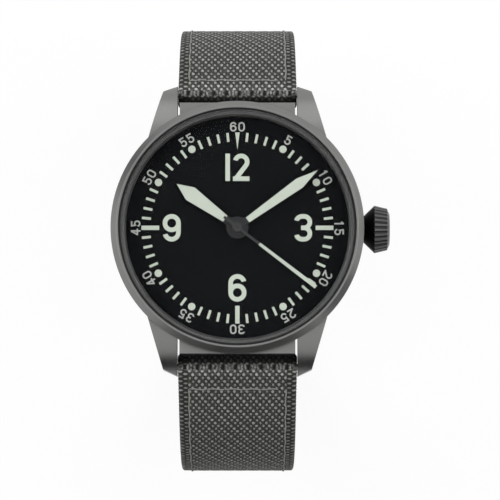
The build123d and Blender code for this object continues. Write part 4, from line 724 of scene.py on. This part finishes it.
def ring_plan(half):
    """For each point of the ring: its place across (-1 to 1 of the flat part), edge offset, height share."""
    count = int(2 * (half - EDGE) / FACE_STEP)
    turn = np.radians(np.linspace(0, 90, 6))
    plan = [(side, 0.0, 1.0) for side in np.linspace(-1, 1, count)]
    plan += [(1, EDGE * math.sin(a), 1 - (1 - math.cos(a)) * 0.5) for a in turn[1:]]
    plan += [(1, EDGE * math.cos(a), 0.5 - math.sin(a) * 0.5) for a in turn[1:]]
    plan += [(side, 0.0, 0.0) for side in np.linspace(1, -1, 24)[1:]]
    plan += [(-1, -EDGE * math.sin(a), (1 - math.cos(a)) * 0.5) for a in turn[1:]]
    plan += [(-1, -EDGE * math.cos(a), 0.5 + math.sin(a) * 0.5) for a in turn[1:-1]]
    return np.array(plan)


print(len(ring_plan(HALF)), "points go round the strap")

# %% Join rings into a closed skin
def skin(rings, mirror):
    """Faces between the rings and over both ends; without mirroring they would face inwards."""
    stations, around, _ = rings.shape
    faces = []
    for k in range(stations - 1):
        low, high = k * around, (k + 1) * around
        for j in range(around):
            n = (j + 1) % around
            faces.append((low + j, low + n, high + n, high + j))
    faces.append(tuple(range(around - 1, -1, -1)))
    faces.append(tuple((stations - 1) * around + j for j in range(around)))
    return faces if mirror else [tuple(reversed(f)) for f in faces]


# %% [markdown]
# The heights follow the real fold. The bar leaves a round hole in the cloth, and the cloth is thickest
# over the bar and settles to its own 1.5 mm within a few millimetres. On the side that faces the case the
# fold is a little fuller than a circle, and its hidden end thins out under the strap. At the bar the strap
# is a little wider, and each woven row swells its edges by a hair.

# %% Stations, heights and widths of a half
TIP = 5.0
TIP_R = (HALF ** 2 + TIP ** 2) / (2 * TIP)
HOLE, FOLD_R, BUCKLE_HOLE, BUCKLE_R = 0.91, 1.9, 0.81, 1.65
FOLD_TURN, THIN_TURN = math.radians(248), math.radians(205)
THINNING, FULLNESS, EASE, FOLD_STEP = 0.45, 0.24, 3.6, 0.14
FLARE, FLARE_FADE, ROW_SWELL = 0.12, 4, 0.03
NO_TIP = 1e9


def stations(length, end_bar):
    """(kind, distance or angle) of every ring, from the fold's hidden end to the far end."""
    count = int(FOLD_R * FOLD_TURN / FOLD_STEP)
    plan = [("fold", a) for a in np.linspace(FOLD_TURN, 0, count, endpoint=False)]
    plan += [("line", s) for s in np.arange(0, length, ROW / 3.5)]
    if end_bar:
        plan += [("line", length)]
        plan += [("over", a) for a in np.linspace(0, FOLD_TURN, int(BUCKLE_R * FOLD_TURN / FOLD_STEP))[1:]]
    else:
        tip = [length - TIP * (k / 16) ** 2 for k in range(15, 0, -1)]
        plan = [p for p in plan if p[0] == "fold" or p[1] < tip[0] - 0.05] + [("line", s) for s in tip]
    return plan


def half_width(z, end_z, near_tip=NO_TIP):
    """Half the strap's width: it narrows evenly towards its end, and the tip itself is an arc."""
    half = HALF + (z - BAR_Z) * NARROWER / (BAR_Z - end_z)
    if near_tip < TIP:
        half = min(half, math.sqrt(2 * TIP_R * near_tip - near_tip ** 2))
    return half


def bulge(far, radius, thick):
    """Height of the outer face at a distance from the bar: the fold's radius, easing to the thickness."""
    ease = min(far / EASE, 1.0)
    return radius + (thick - radius) * (3 * ease ** 2 - 2 * ease ** 3)


def store_half(piece, values):
    """Store the half width at each point, for the weave's edge tape."""
    layer = piece.data.attributes.new("half_mm", "FLOAT", "POINT")
    layer.data.foreach_set("value", np.asarray(values, np.float32))


print(len(stations(course_length(short_course), True)), "rings make the short half")

# %% Build the rings of one half
def weave_half(name, moves, end_z, end_bar, mirror):
    length = course_length(moves)
    plan = ring_plan(HALF)
    face = 1 if mirror else -1
    points, flat = [], []
    for kind, at in stations(length, end_bar):
        far = {"fold": 0.0, "line": at, "over": length}[kind]
        y, z, heading = course(moves, far)
        up = heading + math.pi / 2 + {"fold": at, "line": 0.0, "over": -at}[kind]
        near_end = length - far
        low = math.sqrt(max(0.0, HOLE ** 2 - far ** 2))
        high = bulge(far, FOLD_R, CLOTH_T)
        if end_bar:
            low = max(low, math.sqrt(max(0.0, BUCKLE_HOLE ** 2 - near_end ** 2)))
            high = max(high, bulge(near_end, BUCKLE_R, CLOTH_T))
        if kind != "line":
            high -= THINNING * max(0.0, at - THIN_TURN) / (FOLD_TURN - THIN_TURN)
        if kind == "fold":
            high += FULLNESS * math.sin(math.pi * min(1.0, at / THIN_TURN))
        half = half_width(z, end_z, NO_TIP if end_bar else near_end) + FLARE * math.exp(-far / FLARE_FADE)
        along = {"fold": -FOLD_R * at, "line": at, "over": length + BUCKLE_R * at}[kind]
        x = plan[:, 0] * (half - EDGE) + plan[:, 1]
        x = x + np.sign(plan[:, 1]) * (ROW_SWELL * math.sin(2 * math.pi * along / ROW))
        on_face = plan[:, 2] > 0.97
        height = low + (high - low) * plan[:, 2] + weave_relief(face * x, along, half) * on_face
        ring = np.column_stack([x, y + height * math.cos(up), z + height * math.sin(up)])
        if mirror:
            ring[:, 1] *= -1
        points.append(ring)
        flat.append(np.column_stack([face * x, np.full(len(x), along), np.full(len(x), half)]))
    points, flat = np.array(points), np.array(flat).reshape(-1, 3)
    piece = make_piece(name, points.reshape(-1, 3), skin(points, mirror), cloth_finish, flat[:, :2])
    store_half(piece, flat[:, 2])
    print(name, "has", len(piece.data.polygons), "faces,", round(length, 2), "mm long")
    return piece


# %% [markdown]
# The big ovals really stand up from the cloth. The same row and column sums as in the material raise the
# points under each oval by a few hundredths of a millimetre, and the bump carries the finer threads.

# %% Relief of the weave
RELIEF = 0.05


def weave_relief(x, along, half):
    row = math.floor(along / ROW)
    dv = along / ROW - row - 0.5
    place = (x / COLUMN - row) % 4.0
    far = ((place - 1.0) / 0.62) ** 2 + (dv / 0.50) ** 2
    raised = np.clip(1.25 - far, 0, 1)
    return RELIEF * raised * (half - np.abs(x) > MARGIN)


strap_12 = weave_half("strap_cloth_12", short_course, SHORT_END_Z, True, False)
strap_6 = weave_half("strap_cloth_6", long_course, LONG_END_Z, False, True)

# %% [markdown]
# ## Holes and the slot for the tongue
# The long half has seven punched holes. The short half is slit where the buckle's tongue turns on its bar.
# Both are cut with a Boolean modifier, and the result is applied, so that the mesh is final.

# %% Cut with a helper mesh
def cut(piece, cutter):
    modifier = piece.modifiers.new("cut", "BOOLEAN")
    modifier.object = cutter
    modifier.operation = "DIFFERENCE"
    modifier.solver = "EXACT"
    graph = bpy.context.evaluated_depsgraph_get()
    result = bpy.data.meshes.new_from_object(piece.evaluated_get(graph), depsgraph=graph)
    piece.modifiers.clear()
    piece.data = result
    bpy.data.objects.remove(cutter)
    print(piece.name, "cut, now", len(result.polygons), "faces")


def tube(points, radius, sides):
    """A closed straight tube from the first point to the second."""
    a, b = Vector(points[0]), Vector(points[1])
    axis = (b - a).normalized()
    side = axis.orthogonal().normalized()
    other = axis.cross(side)
    turns = np.linspace(0, 2 * math.pi, sides, endpoint=False)
    ring = [side * math.cos(t) + other * math.sin(t) for t in turns]
    verts = [a + radius * r for r in ring] + [b + radius * r for r in ring]
    faces = [(k, (k + 1) % sides, sides + (k + 1) % sides, sides + k) for k in range(sides)]
    faces += [tuple(range(sides - 1, -1, -1)), tuple(range(sides, 2 * sides))]
    return verts, faces


# %% Punch the holes and slit the end
HOLES, FIRST_HOLE, HOLE_PITCH, HOLE_R = 7, 25.0, 6.5, 1.0
SLIT_HALF, SLIT_BACK, SLIT_FRONT, SLIT_Z = 1.25, -3.8, 3.5, (-38.5, -30.5)
punch_points, punch_faces = [], []
long_length = course_length(long_course)
for hole in range(HOLES):
    y, z, heading = course(long_course, long_length - FIRST_HOLE - HOLE_PITCH * hole)
    up = Vector((0, -math.cos(heading + math.pi / 2), math.sin(heading + math.pi / 2)))
    middle = Vector((0, -y, z))
    verts, faces = tube((middle - 2.5 * up, middle + 3.5 * up), HOLE_R, 24)
    punch_faces += [tuple(len(punch_points) + k for k in f) for f in faces]
    punch_points += verts
cut(strap_6, make_piece("punch", punch_points, punch_faces))
slit_plan = ((-1, SLIT_BACK), (1, SLIT_BACK), (1, SLIT_FRONT), (-1, SLIT_FRONT))
slit_box = [(side * SLIT_HALF, y, z) for z in SLIT_Z for side, y in slit_plan]
slit_faces = [(3, 2, 1, 0), (4, 5, 6, 7), (0, 1, 5, 4), (1, 2, 6, 5), (2, 3, 7, 6), (3, 0, 4, 7)]
cut(strap_12, make_piece("slit", slit_box, slit_faces))

# %% [markdown]
# ## The linings
# The lining is a thinner, plain band under the cloth, from just past one bar to just before the other, or
# to the tip. It has the same ring-by-ring skin.

# %% Build the linings
LINING_START, LINING_STEP, LINING_IN = 2.2, 0.7, 0.06
BEFORE_BAR, BEFORE_TIP = 1.95, 1.2
ROUND, CORNER = 0.3, 0.09


def line_half(name, moves, end_z, end_bar, mirror):
    length = course_length(moves)
    stop = length - (BEFORE_BAR if end_bar else BEFORE_TIP)
    low, high = -LINING_T, -0.01
    points = []
    for far in np.arange(LINING_START, stop, LINING_STEP).tolist() + [stop]:
        y, z, heading = course(moves, far)
        up = heading + math.pi / 2
        half = half_width(z, end_z, NO_TIP if end_bar else length - far) - LINING_IN
        outline = [(-half, high), (half, high), (half, low + ROUND), (half - CORNER, low + CORNER)]
        outline += [(s * (half - ROUND), low) for s in np.linspace(1, -1, 9)]
        outline += [(-half + CORNER, low + CORNER), (-half, low + ROUND)]
        ring = [(x, y + h * math.cos(up), z + h * math.sin(up)) for x, h in outline]
        points.append([(x, -b if mirror else b, c) for x, b, c in ring])
    points = np.array(points)
    piece = make_piece(name, points.reshape(-1, 3), skin(points, mirror), lining_finish)
    print(name, "has", len(piece.data.polygons), "faces")
    return piece


lining_12 = line_half("strap_lining_12", short_course, SHORT_END_Z, True, False)
lining_6 = line_half("strap_lining_6", long_course, LONG_END_Z, False, True)

# %% [markdown]
# ## Stitches
# Each stitch is a round-ended bead of thread, nearly 3 mm long, that dips into the cloth at both ends, and
# the next one follows almost at once. One row crosses each half near the fold. From there on a row runs
# down both sides, 1.7 mm in from the edge, and all of them waver a little, as sewing does.

# %% One row of stitches along a path on the cloth
THREAD_R, STITCH, STITCH_GAP = 0.12, 3.0, 0.05
END_SHARE, BELLY_SHARE, END_SINK, BELLY_RISE = 0.70, 0.30, -0.03, 0.09
BEAD_RINGS, BEAD_SIDES = 9, 8


def stitch_mesh(points, faces, path):
    """Adds beads along path, a list of (place, outward) pairs closely spaced."""
    spots = np.array([p for p, _ in path])
    outs = np.array([o for _, o in path])
    runs = np.concatenate([[0], np.cumsum(np.linalg.norm(np.diff(spots, axis=0), axis=1))])
    for k in range(int(runs[-1] / STITCH)):
        start = k * STITCH + STITCH_GAP / 2
        rings = []
        for step in np.linspace(0, 1, BEAD_RINGS):
            at = start + step * (STITCH - STITCH_GAP)
            centre = np.array([np.interp(at, runs, spots[:, c]) for c in range(3)])
            out = np.array([np.interp(at, runs, outs[:, c]) for c in range(3)])
            ahead = np.array([np.interp(at + 0.05, runs, spots[:, c]) for c in range(3)]) - centre
            ahead /= max(np.linalg.norm(ahead), 1e-9)
            out /= np.linalg.norm(out)
            side = np.cross(ahead, out)
            arch = min(1.0, 3.0 * math.sin(math.pi * step))
            thick = THREAD_R * (END_SHARE + BELLY_SHARE * arch)
            middle = centre + (END_SINK + BELLY_RISE * arch) * out
            rings.append([middle + thick * (math.cos(t) * side + math.sin(t) * out)
                          for t in np.linspace(0, 2 * math.pi, BEAD_SIDES, endpoint=False)])
        base = len(points)
        points.extend(p for ring in rings for p in ring)
        for r in range(BEAD_RINGS - 1):
            low, high = base + BEAD_SIDES * r, base + BEAD_SIDES * (r + 1)
            for j in range(BEAD_SIDES):
                n = (j + 1) % BEAD_SIDES
                faces.append((low + j, high + j, high + n, low + n))
        faces.append(tuple(base + j for j in range(BEAD_SIDES)))
        faces.append(tuple(high + j for j in range(BEAD_SIDES - 1, -1, -1)))


def on_cloth(moves, far, x, thick, mirror):
    """A place on the cloth, thick above its course, and the direction outwards."""
    y, z, heading = course(moves, far)
    up = heading + math.pi / 2
    flip = -1 if mirror else 1
    outward = (0, flip * math.cos(up), math.sin(up))
    return (x, flip * (y + thick * math.cos(up)), z + thick * math.sin(up)), outward


# %% Sew both halves
SIDE_WAVER, CROSS_WAVER, WAVER_TURN = 0.06, 0.07, 1.9
FROM_BUCKLE, FROM_TIP = 4.4, 4.0


def sew(name, moves, end_z, end_bar, mirror, cross_at):
    """Sew one half: the row across it lies at the distance cross_at, and both side rows start there."""
    points, faces = [], []
    stop = course_length(moves) - (FROM_BUCKLE if end_bar else FROM_TIP)
    for side in (-1, 1):
        path = []
        for far in np.arange(cross_at, stop, 0.4):
            _, z, _ = course(moves, far)
            x = side * (half_width(z, end_z) - MARGIN) + SIDE_WAVER * math.sin(far * WAVER_TURN + side)
            path.append(on_cloth(moves, far, x, bulge(far, FOLD_R, CLOTH_T), mirror))
        stitch_mesh(points, faces, path)
    _, z, _ = course(moves, cross_at)
    inner, thick = half_width(z, end_z) - MARGIN, bulge(cross_at, FOLD_R, CLOTH_T)
    path = [on_cloth(moves, cross_at + CROSS_WAVER * math.sin(WAVER_TURN * x), x, thick, mirror)
            for x in np.arange(-inner, inner, 0.3)]
    stitch_mesh(points, faces, path)
    piece = make_piece(name, points, faces, thread_finish)
    print(name, "has", len(piece.data.polygons), "faces")
    return piece


seam_12 = sew("strap_seam_12", short_course, SHORT_END_Z, True, False, 1.9)
seam_6 = sew("strap_seam_6", long_course, LONG_END_Z, False, True, 3.3)

# %% [markdown]
# ## Keepers
# Two loops of the same cloth hold the strap's end. Each is a flat band bent into a rounded rectangle, so
# its skin is a rounded section carried round that path.

# %% A rounded rectangle
def rounded_box(half, low, high, radius, steps):
    """Points round the box, clockwise from its upper right corner, with that many in each corner."""
    right, left, top, bottom = half - radius, -half + radius, high - radius, low + radius
    path = []
    for a, b, start in ((right, top, 90), (right, bottom, 0), (left, bottom, -90), (left, top, -180)):
        for step in range(steps):
            turn = math.radians(start - 90 * step / (steps - 1))
            path.append((a + radius * math.cos(turn), b + radius * math.sin(turn)))
    return path


# %% Build the keepers
KEEPER_HALF, KEEPER_T, KEEPER_CORNER, KEEPER_ROUND, KEEPER_STEP = 9.65, 0.8, 1.3, 0.3, 0.6
KEEPER_EDGE, KEEPER_START = 2.7, 10


def keeper(name, y_low, y_high, z_low, z_high):
    path = rounded_box(KEEPER_HALF, z_low - KEEPER_T / 2, z_high + KEEPER_T / 2, KEEPER_CORNER, 9)
    dense = []
    for (x0, z0), (x1, z1) in zip(path, path[1:] + path[:1]):
        parts = max(1, int(math.hypot(x1 - x0, z1 - z0) / KEEPER_STEP))
        dense += [(x0 + (x1 - x0) * k / parts, z0 + (z1 - z0) * k / parts) for k in range(parts)]
    loop = np.array(dense)
    ahead = np.roll(loop, -1, 0) - np.roll(loop, 1, 0)
    ahead /= np.linalg.norm(ahead, axis=1)[:, None]
    out = np.column_stack([-ahead[:, 1], ahead[:, 0]])
    section = rounded_box((y_high - y_low) / 2, -KEEPER_T / 2, KEEPER_T / 2, KEEPER_ROUND, 4)
    points, flat = [], []
    run = np.concatenate([[0], np.cumsum(np.linalg.norm(np.diff(loop, axis=0), axis=1))])
    for (x, z), (ox, oz), far in zip(loop, out, run):
        for across, high in section:
            points.append((x + ox * high, (y_low + y_high) / 2 + across, z + oz * high))
            flat.append((across, far + KEEPER_START))
    n, m = len(loop), len(section)
    faces = [(k * m + j, k * m + (j + 1) % m, ((k + 1) % n) * m + (j + 1) % m, ((k + 1) % n) * m + j)
             for k in range(n) for j in range(m)]
    piece = make_piece(name, points, faces, cloth_finish, flat)
    store_half(piece, np.full(len(points), KEEPER_EDGE))
    print(name, "has", len(piece.data.polygons), "faces")
    return piece


fixed_keeper = keeper("keeper_loop_fixed", 4.2, 8.2, -38.157, -33.057)
free_keeper = keeper("keeper_loop_free", 12.3, 16.3, -38.157, -32.932)

# %% [markdown]
# ## Everything moves with its own part
# Each new piece rides on the body whose solid it stands for, so when a strap half swings, its cloth, its
# lining and its stitches swing with it.

# %% Hang each piece on its body
for piece, body, slot, nodes in (
    (strap_12, "strap_12", "weave", ["strap_short"]),
    (strap_6, "strap_6", "weave", ["strap_long"]),
    (lining_12, "strap_12", "lining", ["strap_short_lining"]),
    (lining_6, "strap_6", "lining", ["strap_long_lining"]),
    (fixed_keeper, "strap_12", "weave", ["keeper_fixed"]),
    (free_keeper, "keeper", "weave", ["keeper_free"]),
    (seam_12, "strap_12", "weave", []),
    (seam_6, "strap_6", "weave", []),
):
    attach(piece, body)
    if nodes:
        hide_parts(*nodes)
print("pieces are hung")
